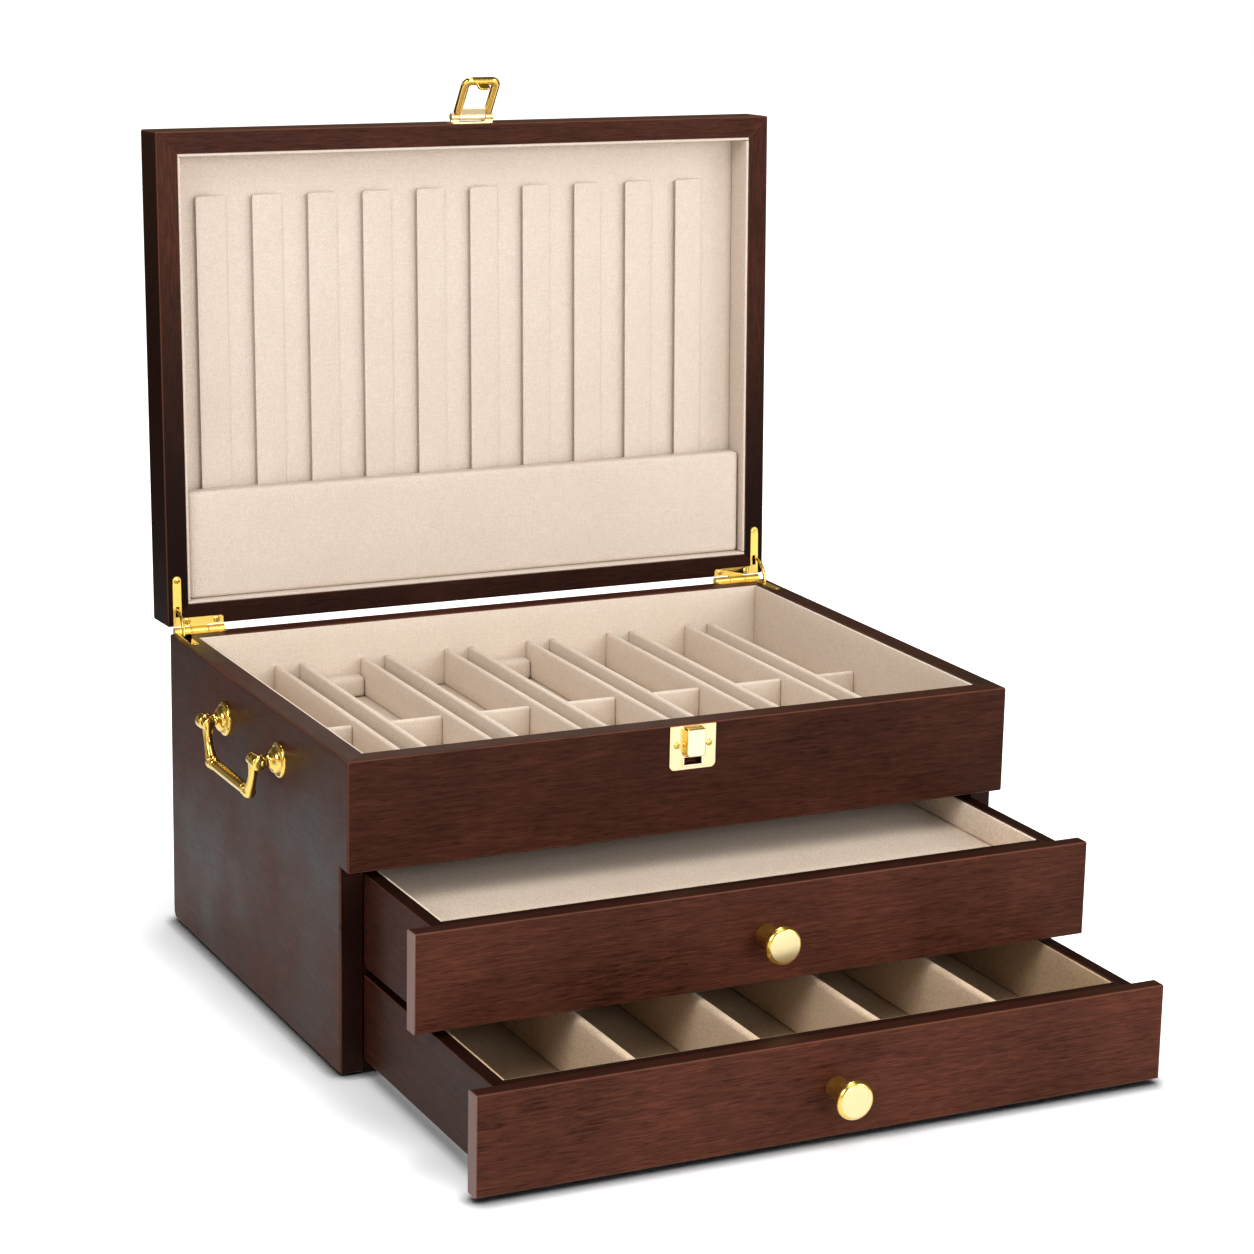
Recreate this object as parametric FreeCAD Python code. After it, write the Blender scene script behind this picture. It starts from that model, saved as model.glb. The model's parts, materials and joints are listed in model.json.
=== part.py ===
"""Flatware chest: a wooden case with a lined well, two drawers and a hinged lid with brass fittings."""
import FreeCAD
import Part
import math
import os

from FreeCAD import Vector

# Case. X is to the right, Y to the back, Z up. The origin is the middle of the face it stands on.
case_width = 400.0
case_depth = 292.0
case_height = 178.0             # rim above the standing face
wall = 13.0                     # sides, back and front board
felt = 1.5
felt_inset = 3.0
front_board_height = 61.0
front_step = 12.0               # the sides' lower front edge stands back behind the front board
edge_round = 1.2
foot_round = 5.0                # the case's lower back corner
groove = 4.0                    # depth of the grooves that hold the panels
base_panel = 6.0
between_panel = 4.0             # panel between the two drawers
well_panel = 5.0
well_depth = 44.0               # rim down to the well's lining floor

# Drawers
shadow_gap = 4.0                # front board to upper drawer front
front_gap = 3.0                 # upper drawer front to lower drawer front
floor_gap = 3.0                 # lower drawer front to the standing face
front_thickness = 9.5
front_end_gap = 0.5
close_gap = 0.3
upper_drawer_pull = 92.0        # how far the drawers stand out
lower_drawer_pull = 171.0
box_side = 8.0
inner_front = 6.5
box_bottom = 3.0
box_below_front_top = 1.0
side_clearance = 1.0
slide_clearance = 0.3
divider_panel_gap = 0.5         # lower drawer's box to the panel over it
rear_clearance = 4.0
raised_bottom_gap = 0.65        # knob screw's head to the upper drawer's raised bottom
low_bottom_lift = 4.7           # lower drawer's bottom above the lower edge of its box
divider_count = 4
divider_thickness = 6.0
divider_below_top = 1.5
drawer_divider_round = 2.4
top_rail_depth = 12.0
top_rail_clearance = 0.5
kicker_width = 10.0

# Lining boards and the well's dividers
lining = 2.0
lining_below_edge = 0.5
pair_count = 6
left_channel = 44.7             # left lining wall to the first long divider
right_channel = 30.3
pair_gap = 12.0                 # narrow channel between the two dividers of a pair
well_divider = 4.0
well_divider_height = 22.5
cross_divider_height = 19.0
cross_divider_behind_middle = 2.0
rest_depth = 10.0
rest_height = 13.0
divider_round = 1.6
rest_round = 2.5
rest_channels = (1, 3)          # wide channels, counted from the left, that have a handle rest

# Lid, modelled closed and then turned open
lid_gap = 0.4
lid_height = 28.0
lid_panel = 5.5
lid_panel_rim = 6.5             # what the frame shows round the top panel
lid_open_angle = 92.0
rib_count = 10
left_rib_margin = 14.0          # left lining wall to the first rib
right_rib_margin = 21.4
rib_share = 0.56                # of the pitch; the rest is the slot between two ribs
rib_height = 4.0
rib_front_gap = 24.5            # front lining wall to the ribs' ends
band_height = 64.5
band_below_rim = 4.2            # band's face behind the lid's opening face
band_end_gap = 1.0
pad_round = 1.5

# Quadrant hinges
leaf_thickness = 1.6
leaf_inset = 3.5                # leaf to the case's outer side face
leaf_side_length = 30.5
leaf_side_width = 5.3
leaf_back_length = 31.3
leaf_back_width = 5.0
leaf_corner = 1.8
corner_screw_in = 3.2           # long leg to the nearer screw of the back leg
end_screw_in = 4.4
pin_behind = 2.8                # pin behind the case's back face
knuckle_radius = 2.4
pin_radius = 1.1
pin_clearance = 0.05
knuckle_gap = 0.3
case_knuckle = 10.2
stay_radius = 13.0
stay_width = 2.4
stay_thickness = 1.4
stay_peg_radius = 0.7
stay_peg_length = 3.4
stay_clearance = 0.4
stay_tail = 17.0                # degrees of stay past each leaf
stay_slot_near = 8.5            # pin to the near end of the slot in a leaf
mortise_skin = 0.3              # between the stay and the wood it swings into
mortise_depth_gap = 1.0
hinge_screw_radius = 1.1
hinge_screw_head = 2.1
hinge_screw_length = 9.0

# Catch and hasp
plate_thickness = 0.9
catch_width = 28.0
catch_height = 25.0
catch_below_rim = 0.6
catch_corner = 3.0
block_width = 13.6
block_height = 15.4
block_below_rim = 1.5
block_depth = 4.6
block_round = 1.1
window_width = 10.5
window_height = 3.8
window_below_block = 2.0
window_lip = 1.2
window_lip_height = 0.5
catch_pocket = 4.2              # depth of the hole in the board behind the window
catch_screw_x = 9.8
catch_screw_below_rim = 11.5
catch_screw_head = 1.9
catch_screw_radius = 0.9
hasp_plate_width = 27.0
hasp_plate_height = 10.0
hasp_plate_lift = 2.0
hasp_plate_corner = 1.5
hasp_pin_out = 4.0
hasp_pin_up = 5.0
hasp_pin_radius = 0.9
hasp_knuckle = 2.2
hasp_knuckle_gap = 0.3
hasp_middle_knuckle = 16.8
hasp_end_knuckle = 4.8
hasp_width = 25.0
hasp_length = 29.5
hasp_thickness = 4.2
hasp_corner = 3.0
hasp_chamfer = 0.7
hasp_top_gap = 0.4              # hasp plate's knuckles to the frame's ring
hasp_web_inset = 1.0
hasp_window_width = 15.0
hasp_window_start = 6.2
hasp_window_end = 23.0
hasp_window_round = 0.8
hasp_hook_width = 8.6
hasp_hook_thickness = 1.5
hasp_hook_down = 25.9           # pin to the middle of the hook
hasp_hook_reach = 5.0
hasp_hook_round = 2.2
hasp_screw_x = 10.0
hasp_screw_below_top = 2.8
hasp_screw_head = 1.7
hasp_screw_radius = 0.8
plate_screw_length = 8.0
hasp_open_angle = 54.0

# Handles and knobs
handle_below_rim = 26.0
post_spacing = 90.0
post_reach = 13.5               # case side to the bail's pivot
post_eye_radius = 4.4
post_eye_length = 8.0
rosette_radius = 10.0
post_neck_radius = 3.4
post_screw_bite = 5.5
bail_pin_radius = 1.6
bail_pin_length = 5.0
bail_boss_radius = 3.7
bail_boss_length = 5.0
bail_arm_radius = 2.9
bail_arm_end_radius = 2.3
bail_gap = 0.3                  # between a boss and the eye beside it
bail_drop = 20.5
grip_half = 31.0                # middle of the bail to the centre of its lower corners
bail_bar_radius = 1.7
bead_radius = 3.8
grip_radius = 3.2
grip_clearance = 0.05
machine_screw_radius = 2.0
machine_head_radius = 3.6
machine_head = 2.5
machine_recess = 1.2
knob_radius = 10.5
knob_reach = 22.0
knob_foot_radius = 5.6
knob_neck_radius = 3.5
knob_screw_bite = 8.0

# Levels and faces that follow from the sizes above
front_y = -case_depth / 2
back_y = case_depth / 2
side_x = case_width / 2
inner_x = side_x - wall
rim_z = case_height
board_bottom = rim_z - front_board_height
step_y = front_y + front_step
inner_front_y = front_y + wall
inner_back_y = back_y - wall
front_height = (board_bottom - shadow_gap - front_gap - floor_gap) / 2
lower_front_z = floor_gap
upper_front_z = lower_front_z + front_height + front_gap
base_top = felt + base_panel
well_floor_level = rim_z - well_depth
well_divider_top = well_floor_level + well_divider_height
cross_divider_top = well_floor_level + cross_divider_height
handle_level = rim_z - handle_below_rim
well_panel_top = well_floor_level - lining
well_panel_bottom = well_panel_top - well_panel
lower_box_top = lower_front_z + front_height - box_below_front_top
upper_box_top = upper_front_z + front_height - box_below_front_top
between_bottom = lower_box_top + divider_panel_gap
between_top = between_bottom + between_panel
pivot_y = back_y + pin_behind
pivot_z = rim_z + lid_gap / 2
lid_z = rim_z + lid_gap
lid_top = lid_z + lid_height
lid_panel_z = lid_top - lid_panel
lid_floor_z = lid_panel_z - lining
lined_x = inner_x - lining
lined_front = inner_front_y + lining
lined_back = inner_back_y - lining
pair_width = pair_gap + 2 * well_divider
pair_pitch = (2 * lined_x - left_channel - right_channel - pair_width) / (pair_count - 1)
rib_pitch = (2 * lined_x - left_rib_margin - right_rib_margin) / (rib_count - 1 + rib_share)
rib_width = rib_pitch * rib_share


def box(x, y, z):
    """Block between two values on each axis."""
    size = (x[1] - x[0], y[1] - y[0], z[1] - z[0])
    return Part.makeBox(size[0], size[1], size[2], Vector(x[0], y[0], z[0]))


def rod(start, end, radius):
    """Round bar from one point to another."""
    along = Vector(*end) - Vector(*start)
    return Part.makeCylinder(radius, along.Length, Vector(*start), along)


def joined(shapes):
    """One solid of shapes that touch or overlap."""
    whole = shapes[0].fuse(shapes[1:]) if len(shapes) > 1 else shapes[0]
    return whole.removeSplitter()


def group(shapes):
    return Part.makeCompound(shapes)


def mirrored(shape):
    """The same piece on the other side of the chest."""
    return shape.mirror(Vector(0, 0, 0), Vector(1, 0, 0))


def rounded(shape, radius, wanted):
    """Round the edges that the test picks by their box."""
    edges = [edge for edge in shape.Edges if wanted(edge.BoundBox)]
    return shape.makeFillet(radius, edges)


def flat_prism(points, low, high):
    """Prism over a polygon of X and Y, between two levels."""
    outline = [Vector(x, y, low) for x, y in points]
    face = Part.Face(Part.makePolygon(outline + outline[:1]))
    return face.extrude(Vector(0, 0, high - low))


def turned(base, direction, outline):
    """Solid of revolution. The outline gives radius and distance along; an arc is a pair of points."""
    edges = []
    last = Vector(outline[0][0], 0, outline[0][1])
    for step in outline[1:]:
        if isinstance(step[0], tuple):
            middle = Vector(step[0][0], 0, step[0][1])
            point = Vector(step[1][0], 0, step[1][1])
            edges.append(Part.Arc(last, middle, point).toShape())
        else:
            point = Vector(step[0], 0, step[1])
            edges.append(Part.makeLine(last, point))
        last = point
    edges.append(Part.makeLine(last, Vector(outline[0][0], 0, outline[0][1])))
    solid = Part.Face(Part.Wire(edges)).revolve(Vector(0, 0, 0), Vector(0, 0, 1), 360)
    turn = FreeCAD.Rotation(Vector(0, 0, 1), Vector(*direction))
    solid.Placement = FreeCAD.Placement(Vector(*base), turn)
    return solid


def wood_screw_body(head, direction, head_radius, shank_radius, length):
    """Countersunk screw without its recess, also the hole that it sits in."""
    cone = head_radius - shank_radius
    outline = [(0, 0), (head_radius, 0), (shank_radius, cone), (shank_radius, length - 2 * shank_radius)]
    outline.append((0, length))
    return turned(head, direction, outline)


def cross_recess(head, direction, radius, depth):
    """Cross that a screwdriver turns, cut into a screw's head."""
    width = radius * 0.32
    reach = radius * 0.75
    arms = []
    for size in ((reach, width / 2), (width / 2, reach)):
        arms.append(box((-size[0], size[0]), (-size[1], size[1]), (-0.1, depth)))
    cross = joined(arms)
    turn = FreeCAD.Rotation(Vector(0, 0, 1), Vector(*direction))
    cross.Placement = FreeCAD.Placement(Vector(*head), turn)
    return cross


def wood_screw(head, direction, head_radius, shank_radius, length):
    body = wood_screw_body(head, direction, head_radius, shank_radius, length)
    return body.cut(cross_recess(head, direction, head_radius, head_radius * 0.35))


def machine_screw_body(head, direction, reach):
    """Flat-headed machine screw; the head's outer face is at the given point."""
    outline = [(0, 0), (machine_head_radius, 0), (machine_head_radius, machine_head)]
    outline += [(machine_screw_radius, machine_head), (machine_screw_radius, reach), (0, reach)]
    return turned(head, direction, outline)


def machine_screw(head, direction, reach):
    body = machine_screw_body(head, direction, reach)
    return body.cut(cross_recess(head, direction, machine_head_radius, machine_recess))


def corner_region(side, low, high):
    """The part of a mitred frame that belongs to one rail."""
    x, y = side_x, back_y
    corners = {"front": ((-x, -y), (x, -y), (x - wall, wall - y), (wall - x, wall - y)),
               "back": ((-x, y), (x, y), (x - wall, y - wall), (wall - x, y - wall)),
               "left": ((-x, -y), (wall - x, wall - y), (wall - x, y - wall), (-x, y)),
               "right": ((x, -y), (x - wall, wall - y), (x - wall, y - wall), (x, y))}
    return flat_prism(corners[side], low, high)


def is_vertical(b):
    return b.ZLength > 1 and b.XLength < 0.01 and b.YLength < 0.01


def is_level(b):
    return b.ZLength < 0.01


def top_edge(b, level):
    return is_level(b) and b.ZMin > level - 0.01


# Hinge leaves, knuckles, stays and their mortises
leaf_side = side_x - leaf_inset
leaf_leg_x = leaf_side - leaf_side_width / 2
leaf_end = leaf_side - leaf_back_length
leaf_tip_y = back_y - leaf_side_length + leaf_side_width / 2


def leaf_plate(low):
    """Left L-shaped leaf with a rounded long leg."""
    z = (low, low + leaf_thickness)
    back_leg = box((-leaf_side, -leaf_end), (back_y - leaf_back_width, back_y), z)

    def free_corner(b):
        return is_vertical(b) and b.XMin > -leaf_end - 1 and b.YMin < back_y - 1

    back_leg = rounded(back_leg, leaf_corner, free_corner)
    side_leg = box((-leaf_side, leaf_side_width - leaf_side), (leaf_tip_y, back_y), z)
    tip = Part.makeCylinder(leaf_side_width / 2, leaf_thickness, Vector(-leaf_leg_x, leaf_tip_y, low))
    return joined([back_leg, side_leg, tip])


def stay_slot(low, high):
    """Slot that the stay slides through, in a leaf."""
    x = -leaf_leg_x
    half = stay_thickness / 2 + stay_clearance
    reach = stay_radius + stay_width / 2 + stay_clearance
    return box((x - half, x + half), (pivot_y - reach, pivot_y - stay_slot_near), (low - 0.1, high + 0.1))


def leaf_screw_places():
    """X and Y of a left leaf's three screws."""
    y = back_y - leaf_back_width / 2
    corner_x = leaf_side_width + corner_screw_in - leaf_side
    return ((corner_x, y), (-leaf_end - end_screw_in, y), (-leaf_leg_x, leaf_tip_y))


def stay_reach():
    """How far above or below the pin a stay goes when the lid is shut."""
    angle = math.radians(lid_open_angle / 2 + stay_tail)
    return (stay_radius + stay_width / 2) * math.sin(angle)


def stay_mortise(low, high):
    """Pocket in the wood that the stay swings into."""
    x = -leaf_leg_x
    half = stay_peg_length / 2 + stay_clearance
    far = stay_radius + stay_width / 2 + stay_clearance
    angle = math.radians(lid_open_angle / 2 + stay_tail)
    near = (stay_radius - stay_width / 2) * math.cos(angle) - mortise_skin
    return box((x - half, x + half), (pivot_y - far, pivot_y - near), (low, high))


def case_leaf():
    """Left leaf let into the case's rim, with two knuckles."""
    low = rim_z - leaf_thickness
    plate = leaf_plate(low)
    parts = [plate]
    spans = ((-leaf_side, case_knuckle - leaf_side), (-leaf_end - case_knuckle, -leaf_end))
    for x0, x1 in spans:
        parts.append(box((x0, x1), (back_y - 1, pivot_y), (low, rim_z)))
        parts.append(rod((x0, pivot_y, pivot_z), (x1, pivot_y, pivot_z), knuckle_radius))
    leaf = joined(parts)
    leaf = leaf.cut(rod((-side_x, pivot_y, pivot_z), (0, pivot_y, pivot_z), pin_radius))
    leaf = leaf.cut(stay_slot(low, rim_z))
    for x, y in leaf_screw_places():
        leaf = leaf.cut(hinge_screw_hole((x, y, rim_z), -1))
    return leaf


def lid_leaf():
    """Left leaf let into the lid's opening face, with the middle knuckle."""
    plate = leaf_plate(lid_z)
    x0 = -leaf_side + case_knuckle + knuckle_gap
    x1 = -leaf_end - case_knuckle - knuckle_gap
    web = box((x0, x1), (back_y - 1, pivot_y), (lid_z, lid_z + leaf_thickness))
    barrel = rod((x0, pivot_y, pivot_z), (x1, pivot_y, pivot_z), knuckle_radius)
    leaf = joined([plate, web, barrel])
    bore = pin_radius + pin_clearance
    leaf = leaf.cut(rod((-side_x, pivot_y, pivot_z), (0, pivot_y, pivot_z), bore))
    leaf = leaf.cut(stay_slot(lid_z, lid_z + leaf_thickness))
    for x, y in leaf_screw_places():
        leaf = leaf.cut(hinge_screw_hole((x, y, lid_z), 1))
    return leaf


def hinge_screw_hole(head, way):
    return wood_screw_body(head, (0, 0, way), hinge_screw_head, hinge_screw_radius, hinge_screw_length)


def hinge_screws(level, way):
    """The six screws of the two leaves at one level."""
    sizes = (hinge_screw_head, hinge_screw_radius, hinge_screw_length)
    screws = []
    for x, y in leaf_screw_places():
        screw = wood_screw((x, y, level), (0, 0, way), *sizes)
        screws += [screw, mirrored(screw)]
    return screws


def hinge_pin():
    return rod((-leaf_side, pivot_y, pivot_z), (-leaf_end, pivot_y, pivot_z), pin_radius)


def stay():
    """Left curved stay at the open lid: a flat arc about the pin with a peg near each end."""
    x = -leaf_leg_x
    near_face = x - stay_thickness / 2
    start = math.radians(180 + stay_tail)
    end = math.radians(180 - lid_open_angle - stay_tail)
    middle = (start + end) / 2
    inner = stay_radius - stay_width / 2
    outer = stay_radius + stay_width / 2

    def point(radius, angle):
        return Vector(near_face, pivot_y + radius * math.cos(angle), pivot_z + radius * math.sin(angle))

    edges = [Part.Arc(point(outer, start), point(outer, middle), point(outer, end)).toShape(),
             Part.makeLine(point(outer, end), point(inner, end)),
             Part.Arc(point(inner, end), point(inner, middle), point(inner, start)).toShape(),
             Part.makeLine(point(inner, start), point(outer, start))]
    blade = Part.Face(Part.Wire(edges)).extrude(Vector(stay_thickness, 0, 0))
    pegs = []
    under_leaf = (lid_gap / 2 + leaf_thickness + stay_peg_radius + stay_clearance) / stay_radius
    for angle in (math.pi + under_leaf, math.pi - math.radians(lid_open_angle) - under_leaf):
        centre = point(stay_radius, angle)
        half = stay_peg_length / 2
        pegs.append(rod((x - half, centre.y, centre.z), (x + half, centre.y, centre.z), stay_peg_radius))
    return joined([blade] + pegs)


# The case
def case_shell():
    """Outer form of the four case walls in one piece, before it is parted at the mitres."""
    outer = box((-side_x, side_x), (front_y, back_y), (felt, rim_z))
    notch = box((-side_x - 1, side_x + 1), (front_y - 1, step_y), (felt - 1, board_bottom))
    shell = outer.cut(notch)
    shell = rounded(shell, foot_round, lambda b: b.ZMax < felt + 1 and b.YMin > back_y - 0.01)

    def eased(b):
        side = b.XMin > side_x - 0.01 or b.XMax < 0.01 - side_x
        back = b.YMin > back_y - 0.01
        face = b.YMax < front_y + 0.01
        if is_vertical(b):
            return side and (back or face or abs(b.YMin - step_y) < 0.01)
        if is_level(b) and b.ZMin > rim_z - 0.01:
            return side or back or face
        return is_level(b) and abs(b.ZMin - board_bottom) < 0.01 and (face or side)

    shell = rounded(shell, edge_round, eased)
    cavity = box((-inner_x, inner_x), (inner_front_y, inner_back_y), (0, rim_z + 1))
    mouth = box((-inner_x, inner_x), (front_y - 1, inner_front_y), (0, board_bottom))
    return shell.cut(cavity).cut(mouth)


def case_panels():
    """Panels let into the grooves of the case walls."""
    x = inner_x + groove
    y1 = inner_back_y + groove
    base = box((-x, x), (step_y + 1, y1), (felt, base_top))
    between = box((-x, x), (step_y, y1), (between_bottom, between_top))
    well = box((-x, x), (inner_front_y - groove, y1), (well_panel_bottom, well_panel_top))
    return base, between, well


def post_places():
    """Y and direction to the bail's middle, for each handle post."""
    return ((-post_spacing / 2, 1), (post_spacing / 2, -1))


def handle_screw_head(y):
    """Middle of a left post screw's head face, sunk in the wall's inner face."""
    return (-inner_x, y, handle_level)


def handle_screw_reach():
    return wall + post_screw_bite


def build_case(parts):
    shell = case_shell()
    base, between, well = case_panels()
    shell = shell.cut(base).cut(between).cut(well)
    low = rim_z - leaf_thickness
    mortise_floor = pivot_z - stay_reach() - mortise_depth_gap
    fittings = [leaf_plate(low), stay_mortise(mortise_floor, rim_z)]
    for x, y in leaf_screw_places():
        fittings.append(hinge_screw_hole((x, y, rim_z), -1))
    for y, way in post_places():
        fittings.append(machine_screw_body(handle_screw_head(y), (-1, 0, 0), handle_screw_reach()))
    fittings += [mirrored(shape) for shape in fittings]
    for x in (-catch_screw_x, catch_screw_x):
        fittings.append(catch_screw_hole(x))
    fittings.append(catch_window(front_y - 1, front_y + catch_pocket))
    for shape in fittings:
        shell = shell.cut(shape)
    sides = ("front", "back", "left", "right")
    upper = {side: shell.common(corner_region(side, felt, rim_z)) for side in sides}
    above_drawers = box((-side_x, side_x), (front_y - 1, 0), (board_bottom, rim_z))
    parts["front_board"] = upper["front"].common(above_drawers)
    parts["back_panel"] = upper["back"]
    # Below the front board the side walls are full to the step, past the mitre's line.
    for side, sign in (("left", -1), ("right", 1)):
        xs = sorted((sign * inner_x, sign * side_x))
        lower_corner = shell.common(box(xs, (front_y, inner_front_y), (felt, board_bottom)))
        parts["side_panel_" + side] = joined([upper[side], lower_corner])
    parts["base_panel"] = base
    parts["drawer_divider_panel"] = between
    parts["well_floor_panel"] = well
    x = side_x - felt_inset
    parts["base_felt"] = box((-x, x), (step_y + felt_inset, back_y - foot_round - felt_inset), (0, felt))


def build_runners(parts):
    """Rail behind the front board and the strips that hold the upper drawer down."""
    z = (upper_box_top + top_rail_clearance, well_panel_bottom)
    rail_back = inner_front_y + top_rail_depth
    parts["top_rail"] = box((-inner_x, inner_x), (inner_front_y, rail_back), z)
    strip = box((-inner_x, kicker_width - inner_x), (rail_back, inner_back_y), z)
    parts["kicker_strips"] = group([strip, mirrored(strip)])


# The well
def divider_centres():
    """X of the long dividers, from the left."""
    centres = []
    for pair in range(pair_count):
        x = left_channel - lined_x + well_divider / 2 + pair * pair_pitch
        centres += [x, x + pair_gap + well_divider]
    return centres


def wide_channels():
    """Left and right X of the wide channels, from the left."""
    centres = divider_centres()
    half = well_divider / 2
    lefts = [-lined_x] + [x + half for x in centres[1::2]]
    rights = [x - half for x in centres[0::2]] + [lined_x]
    return list(zip(lefts, rights))


def build_well(parts):
    top = rim_z - lining_below_edge
    floor = box((-inner_x, inner_x), (inner_front_y, inner_back_y), (well_panel_top, well_floor_level))
    walls = [box((-inner_x, inner_x), (inner_front_y, lined_front), (well_floor_level, top)),
             box((-inner_x, inner_x), (lined_back, inner_back_y), (well_floor_level, top)),
             box((-inner_x, -lined_x), (lined_front, lined_back), (well_floor_level, top)),
             box((lined_x, inner_x), (lined_front, lined_back), (well_floor_level, top))]
    parts["well_lining"] = group([floor] + walls)
    half = well_divider / 2
    long_ones = []
    for x in divider_centres():
        z = (well_floor_level, well_divider_top)
        board = box((x - half, x + half), (lined_front, lined_back), z)
        long_ones.append(rounded(board, divider_round, lambda b: top_edge(b, z[1]) and b.YLength > 1))
    parts["well_long_dividers"] = group(long_ones)
    y = cross_divider_behind_middle
    cross = []
    rests = []
    for number, (x0, x1) in enumerate(wide_channels()):
        board = box((x0, x1), (y - half, y + half), (well_floor_level, cross_divider_top))
        top = cross_divider_top
        cross.append(rounded(board, divider_round, lambda b: top_edge(b, top) and b.XLength > 1))
        if number in rest_channels:
            rest_top = well_floor_level + rest_height
            rest = box((x0, x1), (lined_back - rest_depth, lined_back), (well_floor_level, rest_top))
            front_edge = lined_back - 1
            rests.append(rounded(rest, rest_round, lambda b: top_edge(b, rest_top) and b.YMax < front_edge))
    parts["well_cross_dividers"] = group(cross)
    parts["well_handle_rests"] = group(rests)


# Catch on the front board
catch_face = front_y - plate_thickness
block_bottom = rim_z - block_below_rim - block_height


def catch_window(near, far):
    """Opening for the hasp's hook, through the catch and on into the board."""
    half = window_width / 2
    top = block_bottom - window_below_block
    return box((-half, half), (near, far), (top - window_height, top))


def catch_screw_head_at(x):
    return (x, catch_face, rim_z - catch_screw_below_rim)


def catch_screw_hole(x):
    sizes = (catch_screw_head, catch_screw_radius, plate_screw_length)
    return wood_screw_body(catch_screw_head_at(x), (0, 1, 0), *sizes)


def build_catch(parts):
    top = rim_z - catch_below_rim
    half = catch_width / 2
    plate = box((-half, half), (catch_face, front_y), (top - catch_height, top))
    low = top - catch_height
    plate = rounded(plate, catch_corner, lambda b: b.YLength > 0.1 and b.XLength < 0.01 and b.ZMax < low + 1)
    half = block_width / 2
    block_z = (block_bottom, block_bottom + block_height)
    block = box((-half, half), (catch_face - block_depth, front_y), block_z)
    block = rounded(block, block_round, lambda b: b.YMax < catch_face and (is_vertical(b) or is_level(b)))
    half = window_width / 2 + window_lip
    window_bottom = block_bottom - window_below_block - window_height
    lip_z = (window_bottom - window_lip, block_bottom - window_below_block)
    lip = box((-half, half), (catch_face - window_lip_height, front_y), lip_z)
    catch = joined([plate, block, lip]).cut(catch_window(catch_face - 1, front_y + 1))
    sizes = (catch_screw_head, catch_screw_radius, plate_screw_length)
    screws = []
    for x in (-catch_screw_x, catch_screw_x):
        catch = catch.cut(catch_screw_hole(x))
        screws.append(wood_screw(catch_screw_head_at(x), (0, 1, 0), *sizes))
    parts["catch_plate"] = catch
    parts["catch_screws"] = group(screws)


# Handles
def handle_post(y, way):
    """Left post: stepped rosette, neck and an eye with a bore on the side towards the bail's middle."""
    r = rosette_radius
    neck = post_neck_radius
    outline = [(0, 0), (r, 0), (r, r * 0.12), (r * 0.88, r * 0.22), (r * 0.7, r * 0.24)]
    outline += [((r * 0.66, r * 0.44), (r * 0.44, r * 0.56)), (neck, r * 0.64), (neck, post_reach)]
    outline.append((0, post_reach))
    turned_part = turned((-side_x, y, handle_level), (-1, 0, 0), outline)
    x = -side_x - post_reach
    half = post_eye_length / 2
    eye = rod((x, y - half, handle_level), (x, y + half, handle_level), post_eye_radius)
    eye = rounded(eye, post_eye_radius * 0.18, lambda b: b.YLength < 0.01)
    post = joined([turned_part, eye])
    mouth = y + way * half
    bottom = mouth - way * (bail_pin_length + close_gap)
    bore_radius = bail_pin_radius + pin_clearance
    bore = rod((x, mouth + way, handle_level), (x, bottom, handle_level), bore_radius)
    screw = machine_screw_body(handle_screw_head(y), (-1, 0, 0), handle_screw_reach())
    return post.cut(bore).cut(screw)


def bail():
    """Left bail: two arms with pins, beads at the lower corners and a bar under the grip."""
    x = -side_x - post_reach
    low = handle_level - bail_drop
    parts = [rod((x, -grip_half, low), (x, grip_half, low), bail_bar_radius)]
    for y, way in post_places():
        mouth = y + way * post_eye_length / 2
        near = mouth + way * bail_gap
        far = near + way * bail_boss_length
        end = (x, far, handle_level)
        parts.append(rod((x, mouth - way * bail_pin_length, handle_level), end, bail_pin_radius))
        parts.append(rod((x, near, handle_level), end, bail_boss_radius))
        boss = Vector(x, (near + far) / 2, handle_level)
        corner = Vector(x, -way * grip_half, low)
        along = corner - boss
        parts.append(Part.makeCone(bail_arm_radius, bail_arm_end_radius, along.Length, boss, along))
        parts.append(Part.makeSphere(bead_radius, corner))
    return joined(parts)


def grip():
    """Left turned grip, a sleeve round the bail's bar."""
    x = -side_x - post_reach
    low = handle_level - bail_drop
    half = grip_half - bead_radius - grip_clearance
    bore = bail_bar_radius + grip_clearance
    r = grip_radius
    length = 2 * half
    collar = r * 1.12
    end = r * 0.65
    waist = r * 0.85
    outline = [(bore, 0), (collar, 0), (collar, end), (waist, end * 1.25), (r, end * 1.7)]
    outline += [(r, length - end * 1.7), (waist, length - end * 1.25), (collar, length - end)]
    outline += [(collar, length), (bore, length)]
    return turned((x, -half, low), (0, 1, 0), outline)


def build_handles(parts):
    posts = [handle_post(y, way) for y, way in post_places()]
    reach = handle_screw_reach()
    screws = [machine_screw(handle_screw_head(y), (-1, 0, 0), reach) for y, way in post_places()]
    parts["left_handle_posts"] = group(posts)
    parts["right_handle_posts"] = group([mirrored(post) for post in posts])
    parts["handle_screws"] = group(screws + [mirrored(screw) for screw in screws])
    parts["left_bail"] = bail()
    parts["right_bail"] = mirrored(bail())
    parts["left_bail_grip"] = grip()
    parts["right_bail_grip"] = mirrored(grip())


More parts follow.
